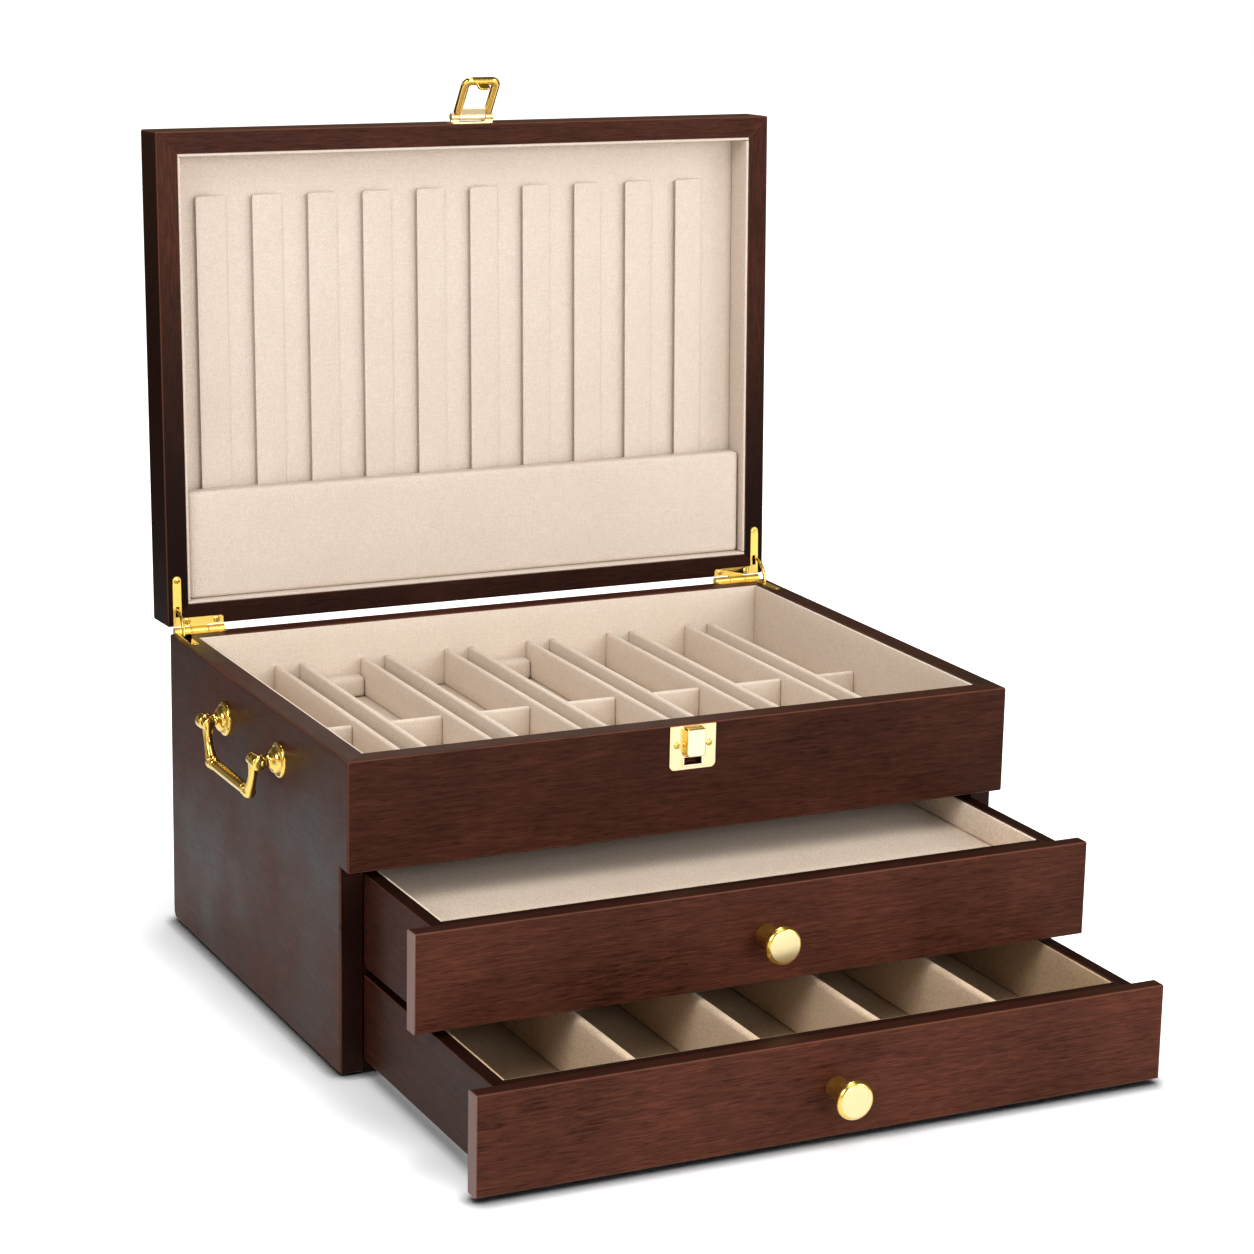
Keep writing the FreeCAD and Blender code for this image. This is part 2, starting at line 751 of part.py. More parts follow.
# Drawers, modelled shut and then pulled out
def build_drawer(parts, name, front_z, box_z, bottom_z, pull):
    front_back_y = step_y - close_gap
    face_y = front_back_y - front_thickness
    x = side_x - front_end_gap
    top = front_z + front_height
    front = box((-x, x), (face_y, front_back_y), (front_z, top))
    front = rounded(front, edge_round, lambda b: b.YMax < face_y + 0.01 or top_edge(b, top))
    half = inner_x - side_clearance
    box_top = top - box_below_front_top
    rear = inner_back_y - rear_clearance
    inner_y = front_back_y + inner_front
    clear = half - box_side
    side = box((-half, -clear), (front_back_y, rear), (box_z, box_top))
    ends = [box((-clear, clear), (front_back_y, inner_y), (box_z, box_top)),
            box((-clear, clear), (rear - box_side, rear), (box_z, box_top))]
    floor_z = bottom_z + box_bottom + lining
    let_in = box_side / 2
    bottom = box((-clear - let_in, clear + let_in), (inner_y - inner_front / 2, rear - let_in),
                 (bottom_z, bottom_z + box_bottom))
    knob_z = front_z + front_height / 2
    head = (0, inner_y, knob_z)
    reach = inner_front + front_thickness + knob_screw_bite
    hole = machine_screw_body(head, (0, -1, 0), reach)
    sides = [side.cut(bottom), mirrored(side).cut(bottom)]
    ends = [ends[0].cut(bottom).cut(hole), ends[1].cut(bottom)]
    y0, y1 = inner_y + lining, rear - box_side - lining
    edge = box_top - lining_below_edge
    boards = [box((-clear, clear), (inner_y, rear - box_side), (floor_z - lining, floor_z)),
              box((-clear, clear), (inner_y, y0), (floor_z, edge)),
              box((-clear, clear), (y1, rear - box_side), (floor_z, edge)),
              box((-clear, lining - clear), (y0, y1), (floor_z, edge)),
              box((clear - lining, clear), (y0, y1), (floor_z, edge))]
    shapes = {"front": front.cut(hole), "sides": group(sides), "ends": group(ends), "bottom": bottom,
              "lining": group(boards), "knob": knob(face_y, knob_z).cut(hole),
              "knob_screw": machine_screw(head, (0, -1, 0), reach)}
    if name == "lower_drawer":
        divider_top = box_top - divider_below_top
        pitch = 2 * (clear - lining) / (divider_count + 1)
        dividers = []
        for number in range(divider_count):
            middle = (number + 1) * pitch - (clear - lining)
            span = (middle - divider_thickness / 2, middle + divider_thickness / 2)
            board = box(span, (y0, y1), (floor_z, divider_top))
            dividers.append(rounded(board, drawer_divider_round,
                                    lambda b: top_edge(b, divider_top) and b.YLength > 1))
        shapes["dividers"] = group(dividers)
    for piece, shape in shapes.items():
        shape.translate(Vector(0, -pull, 0))
        parts[name + "_" + piece] = shape


def knob(face_y, level):
    """Round flat-faced knob on a waisted stem."""
    r = knob_radius
    reach = knob_reach
    foot = knob_foot_radius
    neck = knob_neck_radius
    outline = [(0, 0), (foot, 0), (foot, reach * 0.045), ((neck * 1.06, reach * 0.19), (neck, reach * 0.36))]
    outline += [((neck * 1.09, reach * 0.59), (r * 0.57, reach * 0.745)), (r * 0.85, reach * 0.77)]
    outline.append(((r, reach * 0.855), (r * 0.905, reach * 0.945)))
    outline += [((r * 0.81, reach * 0.977), (r * 0.68, reach * 0.986)), (0, reach)]
    return turned((0, face_y, level), (0, -1, 0), outline)


# Lid
def opened(shape):
    """Turn a piece of the shut lid to the open lid."""
    shape.rotate(Vector(0, pivot_y, pivot_z), Vector(1, 0, 0), -lid_open_angle)
    return shape


def build_lid(parts):
    frame = box((-side_x, side_x), (front_y, back_y), (lid_z, lid_top))

    def eased(b):
        side = b.XMin > side_x - 0.01 or b.XMax < 0.01 - side_x
        end = b.YMin > back_y - 0.01 or b.YMax < front_y + 0.01
        return is_vertical(b) or (is_level(b) and (side or end))

    frame = rounded(frame, edge_round, eased)
    frame = frame.cut(box((-inner_x, inner_x), (inner_front_y, inner_back_y), (0, lid_top + 1)))
    x = side_x - lid_panel_rim
    panel = box((-x, x), (front_y + lid_panel_rim, back_y - lid_panel_rim), (lid_panel_z, lid_top))
    frame = frame.cut(panel)
    fittings = [leaf_plate(lid_z), stay_mortise(lid_z, pivot_z + stay_reach() + mortise_depth_gap)]
    for px, py in leaf_screw_places():
        fittings.append(hinge_screw_hole((px, py, lid_z), 1))
    fittings += [mirrored(shape) for shape in fittings]
    fittings += [hasp_screw_hole(sx) for sx in (-hasp_screw_x, hasp_screw_x)]
    for shape in fittings:
        frame = frame.cut(shape)
    for side in ("front", "back", "left", "right"):
        parts["lid_rail_" + side] = opened(frame.common(corner_region(side, lid_z, lid_top)))
    parts["lid_top_panel"] = opened(panel)
    low = lid_z + lining_below_edge
    boards = [box((-inner_x, inner_x), (inner_front_y, inner_back_y), (lid_floor_z, lid_panel_z)),
              box((-inner_x, inner_x), (inner_front_y, lined_front), (low, lid_floor_z)),
              box((-inner_x, inner_x), (lined_back, inner_back_y), (low, lid_floor_z)),
              box((-inner_x, -lined_x), (lined_front, lined_back), (low, lid_floor_z)),
              box((lined_x, inner_x), (lined_front, lined_back), (low, lid_floor_z))]
    parts["lid_lining"] = opened(group(boards))
    rib_z = lid_floor_z - rib_height
    ribs = []
    front_end = lined_front + rib_front_gap
    for number in range(rib_count):
        left = left_rib_margin - lined_x + number * rib_pitch
        rib = box((left, left + rib_width), (front_end, lined_back), (rib_z, lid_floor_z))
        ribs.append(rounded(rib, pad_round, lambda b: is_level(b) and b.ZMax < rib_z + 0.01
                            and (b.YLength > 1 or b.YMin < front_end + 0.01)))
    parts["lid_knife_ribs"] = opened(group(ribs))
    half = lined_x - band_end_gap
    band = box((-half, half), (lined_back - band_height, lined_back), (lid_z + band_below_rim, rib_z))
    edge_y = lined_back - band_height
    band = rounded(band, 2 * pad_round, lambda b: b.ZMax < lid_z + band_below_rim + 0.01 and is_level(b)
                   and (b.YMax < edge_y + 0.01 or b.YLength > 1))
    parts["lid_pocket_band"] = opened(band)


# Hasp, modelled hanging shut on the shut lid
hasp_y = front_y - hasp_pin_out
hasp_z = lid_z + hasp_pin_up


def hasp_screw_head_at(x):
    return (x, catch_face, lid_z + hasp_plate_lift + hasp_plate_height - hasp_screw_below_top)


def hasp_screw_hole(x):
    sizes = (hasp_screw_head, hasp_screw_radius, plate_screw_length)
    return wood_screw_body(hasp_screw_head_at(x), (0, 1, 0), *sizes)


def build_hasp(parts):
    half = hasp_plate_width / 2
    z = (lid_z + hasp_plate_lift, lid_z + hasp_plate_lift + hasp_plate_height)
    plate = box((-half, half), (catch_face, front_y), z)
    plate = rounded(plate, hasp_plate_corner, lambda b: b.YLength > 0.1 and b.XLength < 0.01)
    near = hasp_middle_knuckle / 2 + hasp_knuckle_gap
    far = near + hasp_end_knuckle
    pieces = [plate]
    for way in (-1, 1):
        pieces.append(rod((way * near, hasp_y, hasp_z), (way * far, hasp_y, hasp_z), hasp_knuckle))
        xs = sorted((way * near, way * far))
        pieces.append(box(xs, (hasp_y, front_y), (hasp_z - hasp_pin_radius, hasp_z + hasp_pin_radius)))
    pin = rod((-far, hasp_y, hasp_z), (far, hasp_y, hasp_z), hasp_pin_radius)
    plate = joined(pieces).cut(pin)
    sizes = (hasp_screw_head, hasp_screw_radius, plate_screw_length)
    screws = []
    for x in (-hasp_screw_x, hasp_screw_x):
        plate = plate.cut(hasp_screw_hole(x))
        screws.append(wood_screw(hasp_screw_head_at(x), (0, 1, 0), *sizes))
    frame = hasp_frame()
    frame.rotate(Vector(0, hasp_y, hasp_z), Vector(1, 0, 0), -hasp_open_angle)
    parts["hasp_plate"] = opened(plate)
    parts["hasp_screws"] = opened(group(screws))
    parts["hasp_pin"] = opened(pin)
    parts["hasp_frame"] = opened(frame)


def hasp_frame():
    """Frame with a window that goes round the catch's block, and a hook that enters the catch's window."""
    half = hasp_width / 2
    front_face = hasp_y - hasp_thickness / 2
    back_face = hasp_y + hasp_thickness / 2
    top = hasp_z - hasp_knuckle - hasp_top_gap
    ring = box((-half, half), (front_face, back_face), (hasp_z - hasp_length, top))
    ring = rounded(ring, hasp_corner, lambda b: b.YLength > 1)
    half = hasp_window_width / 2
    window_z = (hasp_z - hasp_window_end, hasp_z - hasp_window_start)
    window = box((-half, half), (front_face - 1, back_face + 1), window_z)
    window = rounded(window, hasp_window_round, lambda b: b.YLength > 1)
    ring = ring.cut(window)
    ring = ring.makeChamfer(hasp_chamfer, [e for e in ring.Edges if e.BoundBox.YLength < 0.01])
    half = hasp_hook_width / 2
    middle = hasp_z - hasp_hook_down
    hook_z = (middle - hasp_hook_thickness / 2, middle + hasp_hook_thickness / 2)
    hook = box((-half, half), (hasp_y, back_face + hasp_hook_reach), hook_z)
    hook = rounded(hook, hasp_hook_round, lambda b: is_vertical(b) and b.YMin > back_face)
    half = hasp_middle_knuckle / 2
    barrel = rod((-half, hasp_y, hasp_z), (half, hasp_y, hasp_z), hasp_knuckle)
    web_y = (front_face + hasp_web_inset, back_face - hasp_web_inset)
    web = box((-half, half), web_y, (top - hasp_corner / 2, hasp_z))
    frame = joined([ring, hook, barrel, web])
    bore = hasp_pin_radius + pin_clearance
    return frame.cut(rod((-half, hasp_y, hasp_z), (half, hasp_y, hasp_z), bore))


def build_hinges(parts):
    parts["hinge_case_leaf_left"] = case_leaf()
    parts["hinge_case_leaf_right"] = mirrored(case_leaf())
    parts["hinge_lid_leaf_left"] = opened(lid_leaf())
    parts["hinge_lid_leaf_right"] = opened(mirrored(lid_leaf()))
    parts["hinge_pins"] = group([hinge_pin(), mirrored(hinge_pin())])
    parts["hinge_stay_left"] = stay()
    parts["hinge_stay_right"] = mirrored(stay())
    parts["hinge_case_screws"] = group(hinge_screws(rim_z, -1))
    parts["hinge_lid_screws"] = opened(group(hinge_screws(lid_z, 1)))


def main():
    parts = {}
    build_case(parts)
    build_runners(parts)
    build_well(parts)
    build_catch(parts)
    build_handles(parts)
    upper_box_z = between_top + slide_clearance
    raised_bottom_z = upper_front_z + front_height / 2 + machine_head_radius + raised_bottom_gap
    build_drawer(parts, "upper_drawer", upper_front_z, upper_box_z, raised_bottom_z, upper_drawer_pull)
    lower_box_z = base_top + slide_clearance
    low_bottom_z = lower_box_z + low_bottom_lift
    build_drawer(parts, "lower_drawer", lower_front_z, lower_box_z, low_bottom_z, lower_drawer_pull)
    build_lid(parts)
    build_hinges(parts)
    build_hasp(parts)
    os.makedirs("parts", exist_ok=True)
    for name, shape in parts.items():
        if not shape.isValid():
            print("not valid:", name)
        shape.exportStep("parts/" + name + ".step")
        print(name, len(shape.Solids), "solids", round(shape.Volume), "mm3")
    print(len(parts), "nodes")


main()
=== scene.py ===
"""Flatware chest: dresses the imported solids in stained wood, beige cloth and polished brass."""
import json
import math

import bmesh
import bpy
from bpy.props import FloatProperty, FloatVectorProperty, PointerProperty
from mathutils import Matrix, Vector, noise
from mathutils.geometry import interpolate_bezier

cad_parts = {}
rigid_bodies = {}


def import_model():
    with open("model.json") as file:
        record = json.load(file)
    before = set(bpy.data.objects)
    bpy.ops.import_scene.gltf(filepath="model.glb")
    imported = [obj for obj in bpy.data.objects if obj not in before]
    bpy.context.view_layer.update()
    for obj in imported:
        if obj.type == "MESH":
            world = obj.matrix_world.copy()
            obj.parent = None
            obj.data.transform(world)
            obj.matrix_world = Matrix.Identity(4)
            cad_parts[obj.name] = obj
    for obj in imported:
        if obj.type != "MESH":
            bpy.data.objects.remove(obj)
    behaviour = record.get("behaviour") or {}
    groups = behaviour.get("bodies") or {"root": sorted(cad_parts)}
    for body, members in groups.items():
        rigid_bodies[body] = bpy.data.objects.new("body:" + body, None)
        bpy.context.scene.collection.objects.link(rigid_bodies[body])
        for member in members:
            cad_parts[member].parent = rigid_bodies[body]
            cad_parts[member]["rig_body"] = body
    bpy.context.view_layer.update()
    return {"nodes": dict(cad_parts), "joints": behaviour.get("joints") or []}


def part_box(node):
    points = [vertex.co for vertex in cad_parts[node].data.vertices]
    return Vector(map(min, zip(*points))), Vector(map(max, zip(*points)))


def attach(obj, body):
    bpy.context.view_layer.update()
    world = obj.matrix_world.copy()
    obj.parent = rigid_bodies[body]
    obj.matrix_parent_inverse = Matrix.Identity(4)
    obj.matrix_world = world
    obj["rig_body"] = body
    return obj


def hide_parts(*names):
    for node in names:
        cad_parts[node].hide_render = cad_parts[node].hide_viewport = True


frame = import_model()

bl_info = {
    "name": "Flatware Chest",
    "version": (1, 0, 0),
    "blender": (4, 5, 0),
    "location": "View3D > Sidebar > Chest",
    "description": "Wood, cloth and brass for a flatware chest with a lined well and two drawers",
    "category": "Object",
}

JOINTS = {joint["name"]: joint for joint in frame["joints"]}
LID_PIN = Vector(JOINTS["lid_hinge"]["pos_m"])
LID_LEAN = math.radians(JOINTS["lid_hinge"]["range_deg"][1])
HASP_PIN = Matrix.Rotation(LID_LEAN, 4, "X") @ (Vector(JOINTS["hasp_hinge"]["pos_m"]) - LID_PIN) + LID_PIN
HASP_LIFT = math.radians(JOINTS["hasp_hinge"]["range_deg"][1])
MM = 0.001

# Sides of a board, as its axis and the way along it
LEFT, RIGHT, FRONT, REAR, UNDER, TOP = (0, -1), (0, 1), (1, -1), (1, 1), (2, -1), (2, 1)

# Share of the dark grain's colour painted onto a board's faces as painted shade
PAINTED_SHADE = 0.85

# Angles between faces, in radians: the same face, an edge to soften, and a steep edge of a new shape
SAME_FACE, SHARP, STEEP = math.radians(0.4), 0.7, 1.0

# Distances within which vertices are joined, in the CAD nodes' meshes and in new ones
CAD_JOIN, JOIN = 2e-6, 1e-7

# Camera of the photograph: place in metres, and the directions of its frame
VIEW_PLACE = (-0.79325, -1.68461, 0.66250)
VIEW_RIGHT = Vector((0.90022, -0.43503, 0.018767))
VIEW_UP = Vector((0.088866, 0.225744, 0.970125))
VIEW_AHEAD = Vector((0.426271, 0.871658, -0.241879))
VIEW_LENS, VIEW_SENSOR = 95.06, 36.0


# Sizes and colours a user would change
class WoodSettings(bpy.types.PropertyGroup):
    stain: FloatVectorProperty(
        name="Stain", description="Main colour of the stained wood", subtype="COLOR", size=3, min=0, max=1,
        default=(0.078, 0.0238, 0.0132))
    dark_grain: FloatVectorProperty(
        name="Dark grain", description="Colour of the darkest streaks and pores", subtype="COLOR", size=3,
        min=0, max=1, default=(0.019, 0.0055, 0.0030))
    # Worn stain on rounded edges, and a painted highlight there
    worn_edge_and_highlight: FloatVectorProperty(
        name="Rubbed edge", description="Colour where the stain thins on an edge", subtype="COLOR", size=3,
        min=0, max=1, default=(0.26, 0.095, 0.055))
    # End grain and a painted reflection: a drawer front's end faces are painted paler and greyer
    end_grain_and_reflection: FloatVectorProperty(
        name="End grain", description="Colour of a drawer front's end faces", subtype="COLOR", size=3, min=0,
        max=1, default=(0.30, 0.20, 0.175))
    gloss: FloatProperty(
        name="Satin", description="Roughness of the varnish", min=0, max=1, default=0.40)
    edge_softness: FloatProperty(
        name="Edge softness", description="Rounding of a drawer box's edges", unit="LENGTH", min=0, max=0.002,
        default=0.0004)


class ClothSettings(bpy.types.PropertyGroup):
    light_thread: FloatVectorProperty(
        name="Light thread", description="Colour of the lighter threads", subtype="COLOR", size=3, min=0, max=1,
        default=(0.84, 0.735, 0.635))
    dark_thread: FloatVectorProperty(
        name="Dark thread", description="Colour between the threads", subtype="COLOR", size=3, min=0, max=1,
        default=(0.60, 0.49, 0.385))
    light_pile: FloatVectorProperty(
        name="Light pile", description="Colour of the drawers' brushed cloth", subtype="COLOR", size=3, min=0,
        max=1, default=(0.87, 0.745, 0.61))
    dark_pile: FloatVectorProperty(
        name="Dark pile", description="Colour in the shade of the brushed pile", subtype="COLOR", size=3, min=0,
        max=1, default=(0.62, 0.485, 0.355))
    thread_pitch: FloatProperty(
        name="Thread pitch", description="Distance from thread to thread", unit="LENGTH", min=0.0002, max=0.005,
        default=0.0013)
    crown: FloatProperty(
        name="Padding", description="How far a padded face stands above its edges", unit="LENGTH", min=0,
        max=0.002, default=0.0007)
    board: FloatProperty(
        name="Lining board", description="Thickness of a cloth-covered lining board", unit="LENGTH", min=0.001,
        max=0.004, default=0.002)


class BrassSettings(bpy.types.PropertyGroup):
    polish: FloatVectorProperty(
        name="Polished brass", description="Colour of the polished metal", subtype="COLOR", size=3, min=0,
        max=1, default=(0.95, 0.67, 0.15))
    tarnish: FloatVectorProperty(
        name="Toned brass", description="Colour of slightly toned patches", subtype="COLOR", size=3, min=0,
        max=1, default=(0.80, 0.46, 0.05))
    # Painted highlight: a pale, nearly white brass colour mixed into the gold
    pale: FloatVectorProperty(
        name="Pale brass", description="Colour of the palest plates", subtype="COLOR", size=3, min=0, max=1,
        default=(0.97, 0.88, 0.66))
    gloss: FloatProperty(
        name="Polish", description="Roughness of the metal", min=0, max=1, default=0.13)


class StageSettings(bpy.types.PropertyGroup):
    floor: FloatVectorProperty(
        name="Floor", description="Colour of the floor", subtype="COLOR", size=3, min=0, max=1,
        default=(0.90, 0.90, 0.91))
    key: FloatProperty(
        name="Key lamp", description="Power of the large lamp at the right", unit="POWER", min=0, max=500,
        default=15.0)
    fill: FloatProperty(
        name="Front lamp", description="Power of the lamp behind the camera", unit="POWER", min=0, max=500,
        default=32.0)
    side: FloatProperty(
        name="Side lamp", description="Power of the lamp at the left", unit="POWER", min=0, max=500,
        default=20.0)
    top: FloatProperty(
        name="Top lamp", description="Power of the lamp overhead, a little behind", unit="POWER", min=0,
        max=500, default=14.0)
    high: FloatProperty(
        name="High lamp", description="Power of the lamp high in front", unit="POWER", min=0, max=500,
        default=9.0)
    sky: FloatProperty(
        name="Room light", description="Strength of the even light from all round", min=0, max=2, default=0.38)


# Shader maths
class Value:
    """A shader socket that takes part in Python expressions; each operation adds its Math node."""

    def __init__(self, finish, socket):
        self.finish = finish
        self.socket = socket

    def __add__(self, other):
        return self.finish.maths("ADD", self, other)

    def __radd__(self, other):
        return self.finish.maths("ADD", other, self)

    def __sub__(self, other):
        return self.finish.maths("SUBTRACT", self, other)

    def __rsub__(self, other):
        return self.finish.maths("SUBTRACT", other, self)

    def __mul__(self, other):
        return self.finish.maths("MULTIPLY", self, other)

    def __rmul__(self, other):
        return self.finish.maths("MULTIPLY", other, self)


class Finish:
    """A material or a world with its one surface shader, and the one method that adds its other nodes."""

    def __init__(self, material, surface="Principled BSDF"):
        self.material = material
        self.material.use_nodes = True
        self.tree = self.material.node_tree
        self.surface = self.tree.nodes[surface]

    def node(self, kind, inputs=None, output=0, stops=None, **settings):
        made = self.tree.nodes.new(kind)
        for name, value in settings.items():
            setattr(made, name, value)
        if stops:
            ramp = made.color_ramp
            while len(ramp.elements) < len(stops):
                ramp.elements.new(1.0)
            for element, (place, colour) in zip(ramp.elements, stops):
                element.position = place
                element.color = (*colour, 1.0)
        for name, value in (inputs or {}).items():
            socket = made.inputs[name]
            if isinstance(value, Value):
                self.tree.links.new(value.socket, socket)
            elif socket.type == "RGBA":
                socket.default_value = (*value, 1.0)
            else:
                socket.default_value = value
        return Value(self, made.outputs[output])

    def set(self, **constants):
        """Constants straight on the shader's own sockets."""
        for name, value in constants.items():
            socket = self.surface.inputs[name.replace("_", " ")]
            socket.default_value = (*value, 1.0) if socket.type == "RGBA" else value

    def feed(self, name, value):
        self.tree.links.new(value.socket, self.surface.inputs[name])

    def maths(self, operation, *values):
        return self.node("ShaderNodeMath", dict(enumerate(values)), operation=operation)

    def place(self, scale=(1, 1, 1), turn=(0, 0, 0), shift=(0, 0, 0)):
        """Object coordinates, stretched and turned."""
        coordinates = self.node("ShaderNodeTexCoord", output="Object")
        return self.node("ShaderNodeMapping", {"Vector": coordinates, "Location": shift, "Rotation": turn,
                                               "Scale": scale})

    def cloud(self, vector, scale, detail=2.0, roughness=0.5, distortion=0.0):
        return self.node("ShaderNodeTexNoise", {"Vector": vector, "Scale": scale, "Detail": detail,
                                                "Roughness": roughness, "Distortion": distortion})

    def between(self, value, low, high):
        """0 below low, 1 above high, smooth between."""
        return self.node("ShaderNodeMapRange", {"Value": value, "From Min": low, "From Max": high},
                         interpolation_type="SMOOTHSTEP")

    def mix(self, share, first, second):
        return self.node("ShaderNodeMix", {0: share, 6: first, 7: second}, output=2, data_type="RGBA")

    def split(self, vector):
        """The three numbers of a vector."""
        parts = self.node("ShaderNodeSeparateXYZ", {"Vector": vector}).socket.node
        return [Value(self, socket) for socket in parts.outputs]

    def ray(self, kind):
        return self.node("ShaderNodeLightPath", output=kind)

    def high_of(self, first, second):
        return self.maths("MAXIMUM", first, second)

    def size_of(self, value):
        return self.maths("ABSOLUTE", value)

    def length(self, first, second):
        return self.maths("POWER", first * first + second * second, 0.5)

    def facing(self):
        """The three numbers of the direction that the surface faces."""
        return self.split(self.node("ShaderNodeTexCoord", output="Normal"))

    def edge(self):
        """Rises from 0 on flat faces along the axes to 1 on the rounding between them."""
        x, y, z = [self.size_of(part) for part in self.facing()]
        return self.between(1 - self.high_of(self.high_of(x, y), z), 0.01, 0.2)

    def bump(self, height, strength, distance):
        self.feed("Normal", self.node("ShaderNodeBump", {"Height": height, "Strength": strength,
                                                         "Distance": distance}))


def tinted(colour, shade):
    """A colour whose channels are each multiplied by a number of their own."""
    return tuple(channel * share for channel, share in zip(colour, shade))


def dimmed(colour, share):
    return tinted(colour, (share,) * 3)


def wood_finish(name, grain, depth, mottle, sheen, end_face, painted_shade_below, painted_shade_faces):
    """Stained close-grained wood whose fibres run along one axis; depth over 1 is a lighter board.

    The board's end faces, past the given distance from the middle, are painted paler and greyer: end grain and
    a painted reflection. The colour is darkened into painted shade below a height, and on faces given as a side
    and a share. Rounded edges are painted lighter in patches: rubbed stain and a painted highlight."""
    look = bpy.context.scene.chest_wood
    finish = Finish(bpy.data.materials.new(name))

    def along(share, shift):
        scale = tuple(share if axis == grain else 1.0 for axis in "xyz")
        return finish.place(scale=scale, shift=(shift * depth, shift * 0.7, shift * 1.3))

    streaks = finish.cloud(along(0.07, 0.3), 170.0, detail=5.0, roughness=0.6, distortion=0.25)
    waves = finish.cloud(along(0.11, 1.7), 760.0, detail=3.0, roughness=0.7, distortion=0.7)
    fibres = finish.cloud(along(0.035, 1.1), 1100.0, detail=3.0, roughness=0.7)
    pores = finish.cloud(along(0.045, 2.3), 1700.0, detail=1.0)
    blotches = finish.cloud(finish.place(shift=(0.4, 0.1 * depth, 0.9)), 12.0, detail=5.0, roughness=0.6)
    tone = streaks * 0.14 + waves * 0.40 + fibres * 0.24 + (blotches - 0.5) * mottle + 0.11
    stain, dark = dimmed(look.stain, depth), dimmed(look.dark_grain, depth)
    low = tuple((a + 3 * b) / 4 for a, b in zip(dark, stain))
    colour = finish.node("ShaderNodeValToRGB", {"Fac": tone},
                         stops=[(0.345, dark), (0.45, low), (0.51, stain), (0.605, dimmed(stain, 1.5))])
    in_pore = 1 - finish.between(pores, 0.32, 0.42)
    colour = finish.mix(in_pore * 0.45, colour, dark)
    # Painted shade: the colour darkens below the given height, towards half the dark grain's colour
    if painted_shade_below:
        _, _, height = finish.split(finish.place())
        painted_low_shade = 1 - finish.between(height, painted_shade_below - 0.24, painted_shade_below)
        colour = finish.mix(painted_low_shade * 0.95, colour, dimmed(dark, 0.5))
    facing = finish.facing()
    # Painted shade: faces turned the given way are darkened towards the dark grain's colour
    for (axis, side), share in painted_shade_faces:
        turned = finish.between(facing[axis] * side, 0.6, 0.95)
        colour = finish.mix(turned * share, colour, dark)
    # Rubbed stain and a painted highlight: rounded edges are painted lighter, in patches
    rubbed_and_highlighted = finish.edge() * finish.between(blotches * 0.5 + streaks * 0.5, 0.28, 0.48)
    colour = finish.mix(rubbed_and_highlighted * 0.32, colour, look.worn_edge_and_highlight)
    # End grain and a painted reflection on the end faces
    if end_face:
        x, _, _ = finish.split(finish.place())
        past = finish.between(finish.size_of(x), end_face - 0.0012, end_face - 0.0002)
        colour = finish.mix(past * (0.35 + blotches * 0.6), colour, look.end_grain_and_reflection)
    finish.feed("Base Color", colour)
    finish.feed("Roughness", look.gloss + (fibres - 0.5) * 0.2 + (blotches - 0.5) * mottle)
    finish.set(Specular_IOR_Level=sheen, Coat_Weight=0.0)
    finish.bump(fibres * 0.5 + (1 - in_pore) * 0.5, 0.2, 0.00025)
    return finish.material


def cloth_finish(name, nap, shade):
    """Plain-woven cloth on the piece's own map; nap brushes the threads away into a warm, soft pile. Shade
    multiplies both colours: painted light where over 1, painted shade where under.
    """
    look = bpy.context.scene.chest_cloth
    finish = Finish(bpy.data.materials.new(name))
    flat = finish.node("ShaderNodeUVMap", uv_map="weave")

    def slub(scale):
        """Unevenness of the threads that run along one way of the cloth."""
        vector = finish.node("ShaderNodeMapping", {"Vector": flat, "Scale": scale})
        return finish.cloud(vector, 0.8 / look.thread_pitch, detail=2.0, roughness=0.6)

    warp_slub = slub((1.0, 0.22, 1.0))
    weft_slub = slub((0.22, 1.0, 1.0))
    across, down, _ = finish.split(flat)
    turns = 2 * math.pi / look.thread_pitch
    warp, weft = [finish.maths("SINE", way * turns + uneven * 7.0)
                  for way, uneven in ((across, warp_slub), (down, weft_slub))]
    weave = warp * weft * 0.5 + 0.5
    fuzz = finish.cloud(finish.place(), 900.0, detail=4.0, roughness=0.75)
    patches = finish.cloud(finish.place(), 22.0, detail=3.0)
    woven = 1.0 - nap
    tone = weave * 0.55 * woven + (warp_slub + weft_slub) * 0.16 + fuzz * (0.62 + 0.4 * nap) + patches * 0.10
    tone = tone - 0.33 + 0.10 * nap
    light, dark = (look.light_pile, look.dark_pile) if nap else (look.light_thread, look.dark_thread)
    finish.feed("Base Color", finish.mix(finish.between(tone, 0.22, 0.78), tinted(dark, shade),
                                         tinted(light, shade)))
    finish.set(Roughness=1.0, Specular_IOR_Level=0.0)
    finish.bump(weave * 0.6 * woven + (warp_slub + weft_slub) * 0.3 + fuzz * 0.9, 0.45, 0.0004)
    return finish.material


